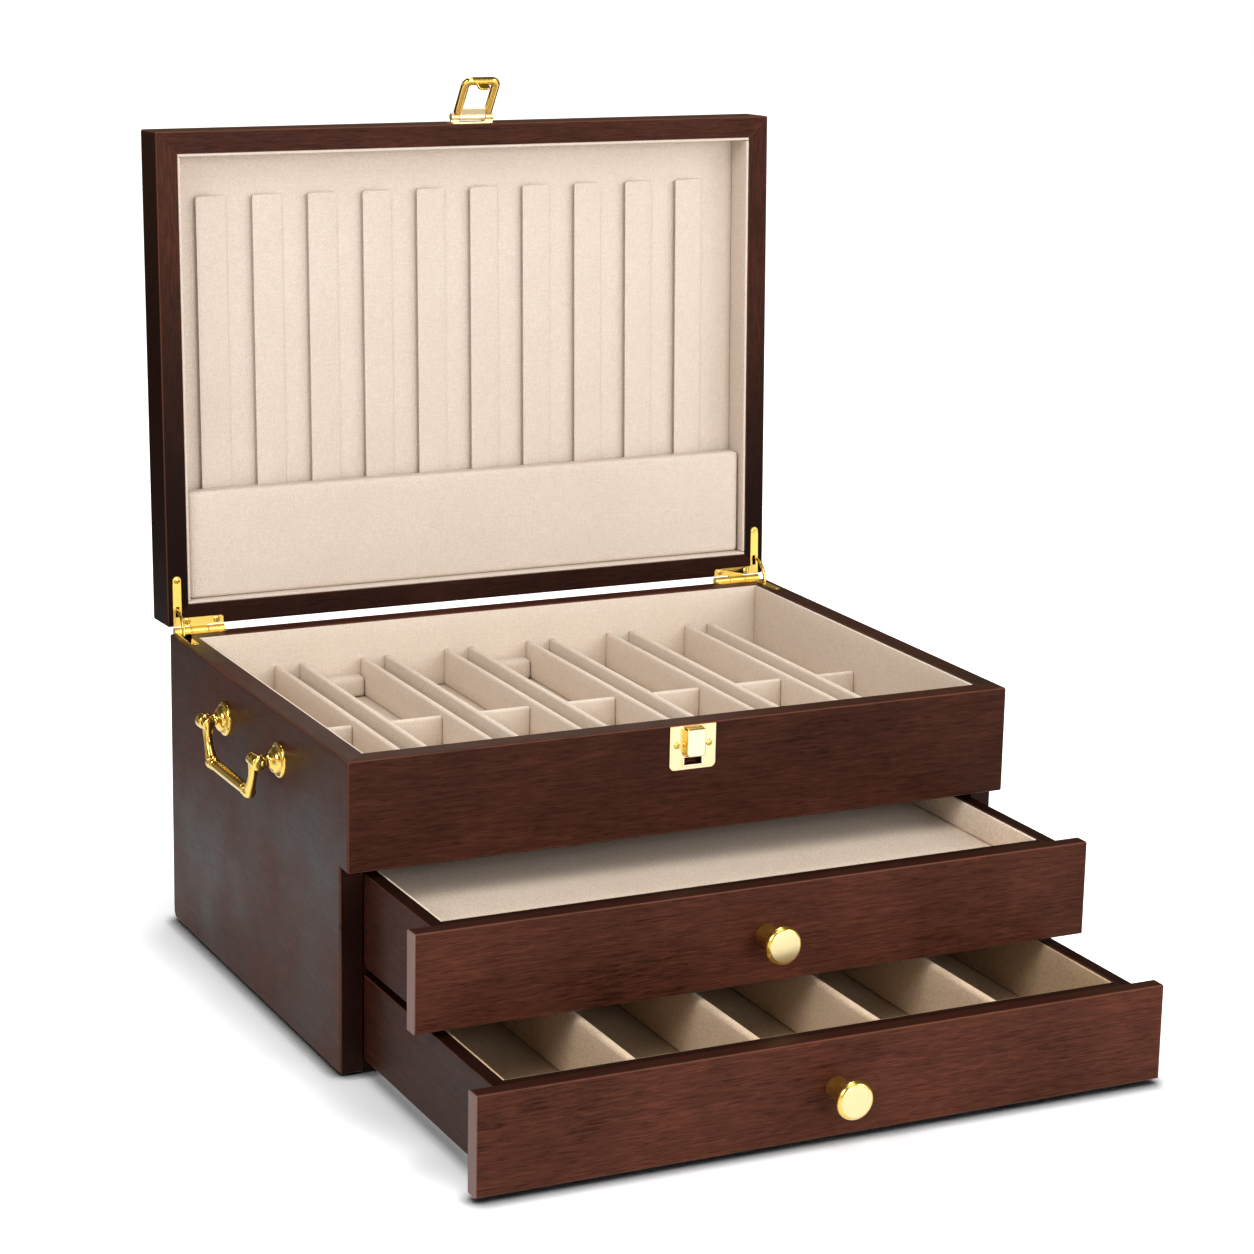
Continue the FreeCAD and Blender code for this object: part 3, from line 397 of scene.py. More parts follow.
def brass_finish(name, pale, satin, front):
    """Lacquered brass with faint toning and hairlines; pale is the share of the pale colour, a painted
    highlight, and satin adds roughness.

    Front keeps that painted highlight to the faces turned to the front, and the edges stay gold."""
    look = bpy.context.scene.chest_brass
    finish = Finish(bpy.data.materials.new(name))
    toning = finish.cloud(finish.place(), 60.0, detail=3.0, roughness=0.5)
    hairlines = finish.cloud(finish.place(scale=(1, 0.05, 0.3), turn=(0.3, 0.2, 0.5)), 1800.0, detail=2.0)
    gold = finish.mix(finish.between(toning, 0.5, 0.8) * 0.5, look.polish, look.tarnish)
    # Painted highlight: the pale colour is mixed in, on front faces only if front is asked
    share = finish.between(0 - finish.facing()[1], 0.90, 0.99) * pale if front else pale
    finish.feed("Base Color", finish.mix(share, gold, look.pale))
    finish.feed("Roughness", look.gloss + satin + (toning - 0.5) * 0.06 + (hairlines - 0.5) * 0.05)
    finish.set(Metallic=1.0, Coat_Weight=0.5, Coat_Roughness=0.12 + satin * 0.5)
    if satin > 0.15:
        finish.bump(hairlines, 0.05, 0.0001)
    return finish.material


def felt_finish(name):
    """Dark pressed felt."""
    finish = Finish(bpy.data.materials.new(name))
    fuzz = finish.cloud(finish.place(), 900.0, detail=4.0, roughness=0.7)
    patches = finish.cloud(finish.place(), 40.0, detail=2.0)
    share = finish.between(fuzz * 0.7 + patches * 0.3, 0.3, 0.7)
    finish.feed("Base Color", finish.mix(share, (0.010, 0.006, 0.005), (0.032, 0.020, 0.016)))
    finish.set(Roughness=0.97, Specular_IOR_Level=0.1, Sheen_Weight=0.3)
    finish.bump(fuzz, 0.5, 0.0005)
    return finish.material


def finish_named(name, maker, *settings):
    """The material of that name, made once."""
    return bpy.data.materials.get(name) or maker(name, *settings)


def wood(grain, depth=1.0, mottle=0.34, sheen=0.05, end_face=0.0, painted_shade_below=0.0, painted_shade_faces=()):
    name = "stained_wood_%s_%d" % (grain, round(100 * depth))
    return finish_named(name, wood_finish, grain, depth, mottle, sheen, end_face, painted_shade_below, painted_shade_faces)


def cloth(nap=0.0, shade=(1.0, 1.0, 1.0)):
    name = "%s_cloth_%d" % ("brushed" if nap else "woven", round(100 * shade[0]))
    return finish_named(name, cloth_finish, nap, shade)


def brass(pale=0.0, satin=0.0, front=False):
    name = "brass_%s_%d_satin_%d" % ("front" if front else "pale", round(100 * pale), round(100 * satin))
    return finish_named(name, brass_finish, pale, satin, front)


# Objects
def in_scene(name, data):
    """A new object in the scene."""
    made = bpy.data.objects.new(name, data)
    bpy.context.scene.collection.objects.link(made)
    return made


def mesh_of(bm, name):
    mesh = bpy.data.meshes.new(name)
    bm.to_mesh(mesh)
    bm.free()
    return mesh


def piece_of(bm, name, body, material, stands_for):
    """Make the mesh an object of its own, riding on a body, in place of CAD nodes."""
    mesh = mesh_of(bm, name)
    mesh.materials.append(material)
    piece = in_scene(name, mesh)
    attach(piece, body)
    if stands_for:
        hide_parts(*stands_for)
    return piece


def smooth(piece, degrees=None):
    """Smooth shading, with edges sharper than the angle kept crisp."""
    for face in piece.data.polygons:
        face.use_smooth = True
    if degrees is not None:
        piece.data.set_sharp_from_angle(angle=math.radians(degrees))
    return piece


def shade_evenly(piece):
    piece.modifiers.new("even_shading", "WEIGHTED_NORMAL").keep_sharp = True


def body_of(node):
    return frame["nodes"][node]["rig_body"]


# Meshes read from CAD nodes
def swing_lid(bm, angle):
    """Turn a mesh about the lid's hinge pins."""
    turn = Matrix.Translation(LID_PIN) @ Matrix.Rotation(angle, 4, "X") @ Matrix.Translation(-LID_PIN)
    bmesh.ops.transform(bm, matrix=turn, verts=bm.verts)


def merged_copy(node, shut=False):
    """The node's surface as one joined mesh, for the shut lid if asked."""
    bm = bmesh.new()
    bm.from_mesh(frame["nodes"][node].data)
    bmesh.ops.remove_doubles(bm, verts=bm.verts, dist=CAD_JOIN)
    if shut:
        swing_lid(bm, LID_LEAN)
    return bm


def solid_boxes(node, shut=False):
    """Lowest and highest corner of each separate solid of a node."""
    bm = merged_copy(node, shut)
    left = set(bm.verts)
    boxes = []
    while left:
        reached = [left.pop()]
        island = list(reached)
        while reached:
            for edge in reached.pop().link_edges:
                for vertex in edge.verts:
                    if vertex in left:
                        left.remove(vertex)
                        reached.append(vertex)
                        island.append(vertex)
        boxes.append([Vector([end(vertex.co[axis] for vertex in island) for axis in range(3)])
                      for end in (min, max)])
    bm.free()
    return sorted(boxes, key=lambda pair: tuple(round(value, 4) for value in pair[0]))


def whole_box(node):
    """Lowest and highest corner of all of a node's solids together, for the shut lid."""
    lows, highs = zip(*solid_boxes(node, shut=True))
    return [Vector([end(corner[axis] for corner in corners) for axis in range(3)])
            for end, corners in ((min, lows), (max, highs))]


def dressed_copy(node, material, soften=0.0, least=8.0 * MM, mirror_of=None):
    """A node's own shape, joined and smoothly shaded; its sharp edges over a least length may be softened.

    mirror_of names the node at the other side whose mirror image is taken instead."""
    bm = merged_copy(mirror_of or node)
    if mirror_of:
        bmesh.ops.scale(bm, vec=(-1, 1, 1), verts=bm.verts)
        bmesh.ops.reverse_faces(bm, faces=bm.faces)
    bmesh.ops.dissolve_limit(bm, angle_limit=SAME_FACE, verts=bm.verts, edges=bm.edges)
    bm.normal_update()
    if soften:
        weight = bm.edges.layers.float.new("bevel_weight_edge")
        for edge in bm.edges:
            if edge.calc_length() > least and edge.calc_face_angle(0.0) > SHARP:
                edge[weight] = 1.0
    piece = smooth(piece_of(bm, node + "_dressed", body_of(node), material, [node]), 32)
    if soften:
        bevel = piece.modifiers.new("softened", "BEVEL")
        bevel.width = soften
        bevel.segments = 2
        bevel.limit_method = "WEIGHT"
        bevel.use_clamp_overlap = False
    shade_evenly(piece)


# Mesh helpers
def cube():
    bm = bmesh.new()
    bmesh.ops.create_cube(bm, size=1.0)
    return bm


def fit(bm, low, high):
    """Stretch a cube of size 1 to a box."""
    low, high = Vector(low), Vector(high)
    bmesh.ops.scale(bm, vec=high - low, verts=bm.verts)
    bmesh.ops.translate(bm, vec=(low + high) / 2, verts=bm.verts)
    return bm


def slab(low, high):
    return fit(cube(), low, high)


def ease(bm, edges, width, segments=3):
    """Round edges off."""
    bmesh.ops.bevel(bm, geom=edges, offset=width, offset_type="OFFSET", affect="EDGES", segments=segments,
                    profile=0.5, material=-1, clamp_overlap=True)
    bm.normal_update()
    return bm


def rounded_block(low, high, edge, segments=3):
    """A box with all its edges rounded."""
    bm = slab(low, high)
    return ease(bm, bm.edges[:], edge, segments)


def sharp_edges(bm, chosen=lambda edge: True):
    """Edges between faces that stand steeply to each other, of those that are chosen."""
    bm.normal_update()
    return [edge for edge in bm.edges if edge.calc_face_angle(0.0) > STEEP and chosen(edge)]


def extent(edge):
    """How far an edge reaches along each axis."""
    return Vector([abs(value) for value in edge.verts[0].co - edge.verts[1].co])


def cut(bm, point, normal):
    """Divide the faces along a plane, and keep both sides."""
    bmesh.ops.bisect_plane(bm, geom=bm.verts[:] + bm.edges[:] + bm.faces[:], dist=JOIN, plane_co=point,
                           plane_no=normal)


def extrude(bm, faces):
    """Extrude faces as one region; its new vertices and its new faces."""
    made = bmesh.ops.extrude_face_region(bm, geom=faces)["geom"]
    return [[item for item in made if isinstance(item, kind)]
            for kind in (bmesh.types.BMVert, bmesh.types.BMFace)]


def joined(parts):
    """One bmesh of several."""
    whole = bmesh.new()
    for part in parts:
        holder = mesh_of(part, "joining")
        whole.from_mesh(holder)
        bpy.data.meshes.remove(holder)
    return whole


def aimed(direction):
    """The turn from straight up to a direction."""
    return Vector((0, 0, 1)).rotation_difference(Vector(direction)).to_matrix().to_4x4()


def lathe(outline, base, direction, steps, unit=MM):
    """Spin an outline of (radius, distance along) pairs, in millimetres, round an axis."""
    bm = bmesh.new()
    points = [bm.verts.new((radius * unit, 0, along * unit)) for radius, along in outline]
    edges = [bm.edges.new(pair) for pair in zip(points, points[1:])]
    bmesh.ops.spin(bm, geom=points + edges, cent=(0, 0, 0), axis=(0, 0, 1), dvec=(0, 0, 0),
                   angle=2 * math.pi, steps=steps, use_merge=True, use_duplicate=False)
    bmesh.ops.remove_doubles(bm, verts=bm.verts, dist=JOIN)
    bmesh.ops.recalc_face_normals(bm, faces=bm.faces)
    bmesh.ops.transform(bm, matrix=Matrix.Translation(Vector(base)) @ aimed(direction), verts=bm.verts)
    return bm


def tube(points, radii, across, sides=28):
    """Closed rod along points that lie in one plane; across is that plane's normal.

    A radius may be a pair, in the plane and across it."""
    bm = bmesh.new()
    bmesh.ops.create_circle(bm, cap_ends=True, radius=1.0, segments=sides)
    bm.faces.ensure_lookup_table()
    cap = bm.faces[0]
    across = Vector(across).normalized()
    before = None
    for number, (point, radius) in enumerate(zip(points, radii)):
        ahead = points[min(number + 1, len(points) - 1)]
        behind = points[max(number - 1, 0)]
        along = (Vector(ahead) - Vector(behind)).normalized()
        turn = Matrix((across, along.cross(across), along)).transposed().to_4x4()
        wide, thick = radius if isinstance(radius, tuple) else (radius, radius)
        place = Matrix.Translation(Vector(point)) @ turn @ Matrix.Diagonal((thick, wide, wide, 1))
        if before:
            verts, (cap,) = extrude(bm, [cap])
            bmesh.ops.transform(bm, matrix=place @ before.inverted(), verts=verts)
        else:
            bmesh.ops.transform(bm, matrix=place, verts=bm.verts)
        before = place
    bmesh.ops.recalc_face_normals(bm, faces=bm.faces)
    return bm


def slotted_screw(face, outward, radius, proud, turn):
    """Screw whose head's rim is at a face, domed by proud, with a straight slot turned by an angle."""
    shank, length = radius * 0.5, 6.0 * MM
    outline = [(0.0, -length), (shank, -length), (shank, -radius * 0.7), (radius, -0.12 * MM)]
    outline += [(radius * out, proud * up) for out, up in ((0.985, 0.25), (0.90, 0.62), (0.70, 0.88),
                                                           (0.40, 0.98), (0.0, 1.0))]
    bm = lathe(outline, (0, 0, 0), (0, 0, 1), 32, unit=1.0)
    half = radius * 0.15
    for side in (-1, 1):
        cut(bm, (side * half, 0, 0), (1, 0, 0))
    bm.normal_update()
    slot = [f for f in bm.faces if f.normal.z > 0.15 and abs(f.calc_center_median().x) < half]
    bmesh.ops.translate(bm, vec=(0, 0, -radius * 0.32), verts=extrude(bm, slot)[0])
    bmesh.ops.recalc_face_normals(bm, faces=bm.faces)
    place = Matrix.Translation(Vector(face)) @ aimed(outward) @ Matrix.Rotation(turn, 4, "Z")
    bmesh.ops.transform(bm, matrix=place, verts=bm.verts)
    return bm


def brass_piece(parts, name, body, stands_for, degrees=38, lid=False, material=None):
    """Join brass shapes into the piece that stands for CAD nodes."""
    bm = joined(parts)
    if lid:
        swing_lid(bm, -LID_LEAN)
    shade_evenly(smooth(piece_of(bm, name, body, material or brass(), stands_for), degrees))


# Cloth-covered boards
def soft_board(low, high, edge, crown=0.0, faces=(), spacing=0.008, drop=None):
    """Cloth-covered board: a box with rounded edges whose named faces are padded up in their middle.

    drop(away) may move a point of the board, given from -1 to 1 in the board's own box."""
    low, high = Vector(low), Vector(high)
    size, centre = high - low, (low + high) / 2
    bm = cube()
    for axis in range(3):
        cuts = min(48, int(size[axis] / spacing))
        if cuts:
            runs = [e for e in bm.edges if extent(e)[axis] > 0.9]
            bmesh.ops.subdivide_edges(bm, edges=runs, cuts=cuts, use_grid_fill=True)
    fit(bm, low, high)
    ease(bm, sharp_edges(bm), edge)
    for vertex in bm.verts:
        away = [(vertex.co[axis] - centre[axis]) / (size[axis] / 2) for axis in range(3)]
        moved = Vector((0, 0, 0))
        for axis, side in faces:
            if away[axis] * side > 0.5:
                others = [away[i] for i in range(3) if i != axis]
                rise = (1 - others[0] ** 6) * (1 - others[1] ** 6)
                ripple = noise.noise(vertex.co * 28.0) * 0.12 + noise.noise(vertex.co * 90.0) * 0.05
                moved[axis] -= side * crown * (1 - max(0.0, rise) * (0.83 + ripple))
        vertex.co += moved
        if drop:
            vertex.co += drop(away)
    return bm


def boards_for(node, shut=False, **padding):
    """One cloth-covered board for each solid of a node."""
    return [soft_board(low, high, **padding) for low, high in solid_boxes(node, shut)]


def lining_tray(low, high, board, crown, opens=1):
    """Floor board and four wall boards of a lined recess that opens upwards, or downwards at -1."""
    x0, y0, z0 = low
    x1, y1, z1 = high
    if opens > 0:
        floor, walls = (z0, z0 + board), (z0 + board, z1)
    else:
        floor, walls = (z1 - board, z1), (z0, z1 - board)
    tray = [soft_board((x0, y0, floor[0]), (x1, y1, floor[1]), edge=0.0004, crown=crown, faces=[(2, opens)])]
    for (left, right), (front, rear), face in (((x0, x1), (y0, y0 + board), REAR),
                                               ((x0, x1), (y1 - board, y1), FRONT),
                                               ((x0, x0 + board), (y0 + board, y1 - board), RIGHT),
                                               ((x1 - board, x1), (y0 + board, y1 - board), LEFT)):
        tray.append(soft_board((left, front, walls[0]), (right, rear, walls[1]), edge=0.0005, crown=0.0003,
                               faces=[face]))
    return tray


def lay_cloth(bm):
    """Give every face its place on the cloth, in metres, by the axis it faces most."""
    bm.normal_update()
    layer = bm.loops.layers.uv.new("weave")
    for face in bm.faces:
        normal = [abs(value) for value in face.normal]
        axis = normal.index(max(normal))
        first, second = [i for i in range(3) if i != axis]
        for loop in face.loops:
            loop[layer].uv = (loop.vert.co[first], loop.vert.co[second])


def cloth_piece(parts, name, node, lid=False, material=None):
    """Join cloth-covered boards into the piece that stands for a CAD node."""
    bm = joined(parts)
    lay_cloth(bm)
    if lid:
        swing_lid(bm, -LID_LEAN)
    piece = smooth(piece_of(bm, name, body_of(node), material or cloth(), [node]))


def screw_heads(node, body, side, share, proud, turns, ending, material=None):
    """Slotted screws in place of a node's, the rim of each head at a side of its solid.

    Share makes the head smaller than the solid; turns is the first slot's angle and the step to the next."""
    axis, way = side
    outward = Vector((0, 0, 0))
    outward[axis] = way
    lid = body == "lid"
    heads = []
    for number, (low, high) in enumerate(solid_boxes(node, shut=lid)):
        face = (low + high) / 2
        face[axis] = high[axis] if way > 0 else low[axis]
        heads.append(slotted_screw(face, outward, (high.x - low.x) / 2 * share, proud,
                                   turns[0] + turns[1] * number))
    brass_piece(heads, node + ending, body, [node], lid=lid, material=material)


# Operators, one for each piece or group of like pieces
class CHEST_OT_stage(bpy.types.Operator):
    """Floor, room light, lamps and camera"""
    bl_idname = "chest.stage"
    bl_label = "Stage"

    def execute(self, context):
        scene = context.scene
        look = scene.chest_stage
        self.lay_floor(look.floor)
        scene.world = self.room(look.sky)
        self.hang_lamps(look)
        scene.camera = self.photo_view()
        scene.view_settings.view_transform = "Standard"
        return {"FINISHED"}

    def lay_floor(self, paper):
        """White floor, greyer close to the chest where its glow is weaker, with a painted contact shadow where
        the chest touches it.

        In the brass, the mirrored floor is painted darker with its distance, except in front of the chest."""
        bm = bmesh.new()
        bmesh.ops.create_grid(bm, x_segments=1, y_segments=1, size=6.0)
        floor = in_scene("floor", mesh_of(bm, "floor"))
        finish = Finish(bpy.data.materials.new("floor_paper"))
        finish.set(Roughness=0.9, Specular_IOR_Level=0.1, Emission_Color=(1.0, 1.0, 1.0))
        seen = finish.high_of(finish.ray("Is Camera Ray"), finish.ray("Is Transmission Ray"))
        mirrored = finish.ray("Is Glossy Ray")
        x, y, _ = finish.split(finish.place())
        away = finish.length(x, y)
        half_width, half_depth, forward = 0.20, 0.236, 0.08
        beside = finish.high_of(finish.size_of(x) - half_width, 0.0) * 2.0
        before = finish.high_of(finish.size_of(y + forward) - half_depth, 0.0)
        off = finish.length(beside, before)
        ahead = finish.between(0 - y, 0.20, 0.42)
        dim = (1 - ahead) * (finish.between(away, 0.30, 0.75) * 0.62 + finish.between(away, 0.85, 1.3) * 0.35)
        # Painted contact shadow: the floor darkens where ambient occlusion finds the chest close by
        open_air = finish.node("ShaderNodeAmbientOcclusion", {"Distance": 0.010}, output="AO", samples=2)
        covered = 1 - finish.between(open_air, 0.52, 1.0)
        painted_contact_shadow = covered * covered
        shown = (0.24 + finish.between(off, 0.0, 0.17) * 0.70) * (1 - painted_contact_shadow)
        finish.feed("Emission Strength", seen * shown + mirrored * (0.24 - ahead * 0.24 - dim * 0.24))
        finish.feed("Base Color", finish.mix(mirrored * dim + seen * painted_contact_shadow, paper, (0.0, 0.0, 0.0)))
        floor.data.materials.append(finish.material)

    def room(self, sky):
        """White where it is seen, a warm half-dark room where brass mirrors it, and even light elsewhere."""
        room = Finish(bpy.data.worlds.new("room"), "Background")
        across, depth, height = room.split(room.node("ShaderNodeTexCoord", output="Generated"))
        ahead = room.between(0 - depth, 0.20, 0.70)
        left = room.between(0 - across, 0.50, 0.90)
        mirrored = 0.08 + (1 - room.between(height, 0.05, 0.40)) * (0.25 + ahead * 0.6 + left * 0.5)
        shown = room.high_of(room.ray("Is Camera Ray"), room.ray("Is Transmission Ray"))
        glossy = room.ray("Is Glossy Ray")
        plain = 1 - room.high_of(shown, glossy)
        room.feed("Strength", shown + glossy * mirrored + plain * sky)
        room.feed("Color", room.mix(glossy, (1.0, 1.0, 1.0), (1.0, 0.80, 0.52)))
        return room.material

    def hang_lamps(self, look):
        """Square lamps, each aimed at the middle of the chest."""
        target = Vector((0.0, -0.05, 0.16))
        for name, place, size, power in (("key_lamp", (1.50, -1.45, 1.00), 1.1, look.key),
                                         ("front_lamp", (0.3, -2.7, 0.8), 1.2, look.fill),
                                         ("side_lamp", (-1.9, -1.0, 1.5), 1.0, look.side),
                                         ("top_lamp", (0.15, 0.55, 2.0), 0.5, look.top),
                                         ("high_lamp", (0.0, -0.9, 2.0), 1.3, look.high)):
            lamp = bpy.data.lights.new(name, "AREA")
            lamp.shape = "SQUARE"
            lamp.size = size
            lamp.energy = power
            holder = in_scene(name, lamp)
            holder.location = place
            holder.rotation_mode = "QUATERNION"
            holder.rotation_quaternion = (target - Vector(place)).to_track_quat("-Z", "Y")

    def photo_view(self):
        camera = bpy.data.cameras.new("photo_view")
        camera.lens = VIEW_LENS
        camera.sensor_width = VIEW_SENSOR
        camera.clip_start = 0.05
        camera.clip_end = 60.0
        holder = in_scene("photo_view", camera)
        turn = Matrix((VIEW_RIGHT, VIEW_UP, -VIEW_AHEAD)).transposed().to_4x4()
        holder.matrix_world = Matrix.Translation(VIEW_PLACE) @ turn
        return holder


class CHEST_OT_wood(bpy.types.Operator):
    """Stained wood on the case, the lid's frame and the drawers, with the grain along each board"""
    bl_idname = "chest.wood"
    bl_label = "Wooden boards"

    def execute(self, context):
        soften = context.scene.chest_wood.edge_softness
        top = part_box("lid_rail_front")[1].z
        # A board's depth scales its stain: partly the board's own tone, partly painted light and shade set for
        # how brightly it is lit. Painted shade darkens the lid rails low down, the left rail's outer face, the
        # tops of drawers and side panels, and the side panels' front ends
        boards = [("front_board", wood("x", 0.52)), ("back_panel", wood("x", 0.86)),
                  ("lid_top_panel", wood("x", 0.87)), ("lid_rail_front", wood("x", 0.62)),
                  ("lid_rail_back", wood("x", 0.30)),
                  ("lid_rail_left", wood("z", 0.70, painted_shade_below=top, painted_shade_faces=((LEFT, PAINTED_SHADE),))),
                  ("lid_rail_right", wood("z", 0.55, painted_shade_below=top - 0.05))]
        for side in ("left", "right"):
            boards.append(("side_panel_" + side,
                           wood("y", 0.60, 0.7, 0.085, painted_shade_faces=((FRONT, PAINTED_SHADE), (TOP, 0.35)))))
        for drawer, depth in (("upper_drawer", 0.83), ("lower_drawer", 0.89)):
            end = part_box(drawer + "_front")[1].x
            boards += [(drawer + "_front", wood("x", depth, end_face=end, painted_shade_faces=((TOP, 0.70),))),
                       (drawer + "_sides", wood("y", 0.52, painted_shade_faces=((TOP, PAINTED_SHADE),))),
                       (drawer + "_ends", wood("x", 0.64, painted_shade_faces=((TOP, PAINTED_SHADE),)))]
        for node, finish in boards:
            dressed_copy(node, finish, soften=0.0 if node.endswith("_ends") else soften)
        # Hidden boards, with painted shade on their front faces
        hidden = {"x": ("base_panel", "drawer_divider_panel", "well_floor_panel", "top_rail",
                        "upper_drawer_bottom", "lower_drawer_bottom"),
                  "y": ("kicker_strips",)}
        for grain, nodes in hidden.items():
            for node in nodes:
                mesh = frame["nodes"][node].data
                mesh.materials.clear()
                mesh.materials.append(wood(grain, 0.50, painted_shade_faces=((FRONT, PAINTED_SHADE),)))
        return {"FINISHED"}


class CHEST_OT_felt(bpy.types.Operator):
    """Felt sheet under the base"""
    bl_idname = "chest.felt"
    bl_label = "Base felt"

    def execute(self, context):
        bm = soft_board(*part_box("base_felt"), edge=0.0005, spacing=0.02)
        lay_cloth(bm)
        material = finish_named("pressed_felt", felt_finish)
        piece = smooth(piece_of(bm, "base_felt_sheet", "case", material, ["base_felt"]), 40)
        return {"FINISHED"}


class CHEST_OT_well_lining(bpy.types.Operator):
    """Cloth-covered boards, dividers and handle rests of the well"""
    bl_idname = "chest.well_lining"
    bl_label = "Well lining"

    def execute(self, context):
        tray = lining_tray(*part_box("well_lining"), context.scene.chest_cloth.board, 0.0004)
        cloth_piece(tray, "well_cloth", "well_lining")
        for way, faces in (("long", (RIGHT, LEFT)), ("cross", (REAR, FRONT))):
            node = "well_%s_dividers" % way
            dividers = boards_for(node, edge=0.0014, crown=0.0003, faces=faces)
            cloth_piece(dividers, "well_%s_divider_cloth" % way, node)
        rests = boards_for("well_handle_rests", edge=0.0022, crown=0.0006, faces=(TOP, FRONT), spacing=0.004)
        cloth_piece(rests, "well_rest_cloth", "well_handle_rests")
        return {"FINISHED"}


class CHEST_OT_drawer_lining(bpy.types.Operator):
    """Cloth-covered boards of both drawers and the lower drawer's dividers"""
    bl_idname = "chest.drawer_lining"
    bl_label = "Drawer linings"

    def execute(self, context):
        board = context.scene.chest_cloth.board
        # Painted light on the upper drawer's cloth; painted shade, darker and warmer, on the lower drawer's
        for drawer, shade in (("upper_drawer", (1.08, 1.08, 1.10)), ("lower_drawer", (0.70, 0.60, 0.48))):
            tray = lining_tray(*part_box(drawer + "_lining"), board, 0.0004)
            cloth_piece(tray, drawer + "_cloth", drawer + "_lining", material=cloth(1.0, shade))
        # The lower drawer's dividers get a lighter painted shade
        dividers = boards_for("lower_drawer_dividers", edge=0.0020, crown=0.0004, faces=(RIGHT, LEFT))
        cloth_piece(dividers, "lower_drawer_divider_cloth", "lower_drawer_dividers",
                    material=cloth(1.0, (0.94, 0.86, 0.77)))
        return {"FINISHED"}


class CHEST_OT_lid_lining(bpy.types.Operator):
    """The lid's cloth: padded floor, edge boards, knife ribs and pocket band"""
    bl_idname = "chest.lid_lining"
    bl_label = "Lid lining"

    def execute(self, context):
        look = context.scene.chest_cloth
        tray = lining_tray(*whole_box("lid_lining"), look.board, 0.0005, opens=-1)

        def folded(away):
            """The rib is a flap: open underneath at its left, lying down on the lining at its right."""
            share = (1 + away[2]) / 2
            lift = max(0.0, -away[0])
            hollow = 2.5 * lift * (2 - lift)
            fall = 1.7 * (1 + away[0]) - 0.4 * lift ** 3
            return Vector((0, 0, ((1 - share) * fall - share * hollow) * MM))

        ribs = boards_for("lid_knife_ribs", shut=True, edge=0.0012, crown=look.crown * 0.5, faces=[UNDER],
                          spacing=0.004, drop=folded)
        band = soft_board(*whole_box("lid_pocket_band"), edge=0.0024, crown=look.crown, faces=[UNDER],
                          spacing=0.006)
        # Painted shade: the lid's cloth is a little darker than the well's
        finish = cloth(0.0, (0.935, 0.935, 0.955))
        for parts, name, node, fill in ((tray, "lid_cloth", "lid_lining", 0.9),
                                        (ribs, "lid_rib_cloth", "lid_knife_ribs", 0.8),
                                        ([band], "lid_band_cloth", "lid_pocket_band", 0.8)):
            cloth_piece(parts, name, node, lid=True, material=finish)
        return {"FINISHED"}


class CHEST_OT_knobs(bpy.types.Operator):
    """Turned brass knobs and their screws"""
    bl_idname = "chest.knobs"
    bl_label = "Drawer knobs"

    def execute(self, context):
        for drawer in ("upper_drawer", "lower_drawer"):
            node = drawer + "_knob"
            low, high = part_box(node)
            base = ((low.x + high.x) / 2, high.y, (low.z + high.z) / 2)
            rim, reach = (high.x - low.x) / 2 / MM, (high.y - low.y) / MM
            stem = [(2.1, 0.0), (6.0, 0.0), (6.2, 0.3)]
            for step in range(11):
                along = step / 10
                waist = 6.2 - 0.4 * along - 0.6 * math.sin(math.pi * along) + along ** 4
                stem.append((waist, 0.6 + (reach - 5.8) * along))
            stem.append((0.0, reach - 5.2))
            head = [(rim * share, reach - back) for share, back in (
                (0.0, 5.6), (0.74, 5.6), (0.90, 5.1), (0.965, 4.6), (0.995, 3.8), (1.0, 3.0), (0.99, 2.1),
                (0.955, 1.3), (0.90, 0.7), (0.86, 0.3), (0.83, 0.3), (0.80, 0.0), (0.0, 0.0))]
            brass_piece([lathe(stem, base, (0, -1, 0), 48)], node + "_stem", drawer, [], degrees=50,
                        material=brass(0.0, 0.2))
            # The knob's head has a painted highlight on its front face; its stem stays plain gold
            brass_piece([lathe(head, base, (0, -1, 0), 72)], node + "_turned", drawer, [node], degrees=50,
                        material=brass(0.5, 0.12, front=True))
            dressed_copy(drawer + "_knob_screw", brass())
        return {"FINISHED"}


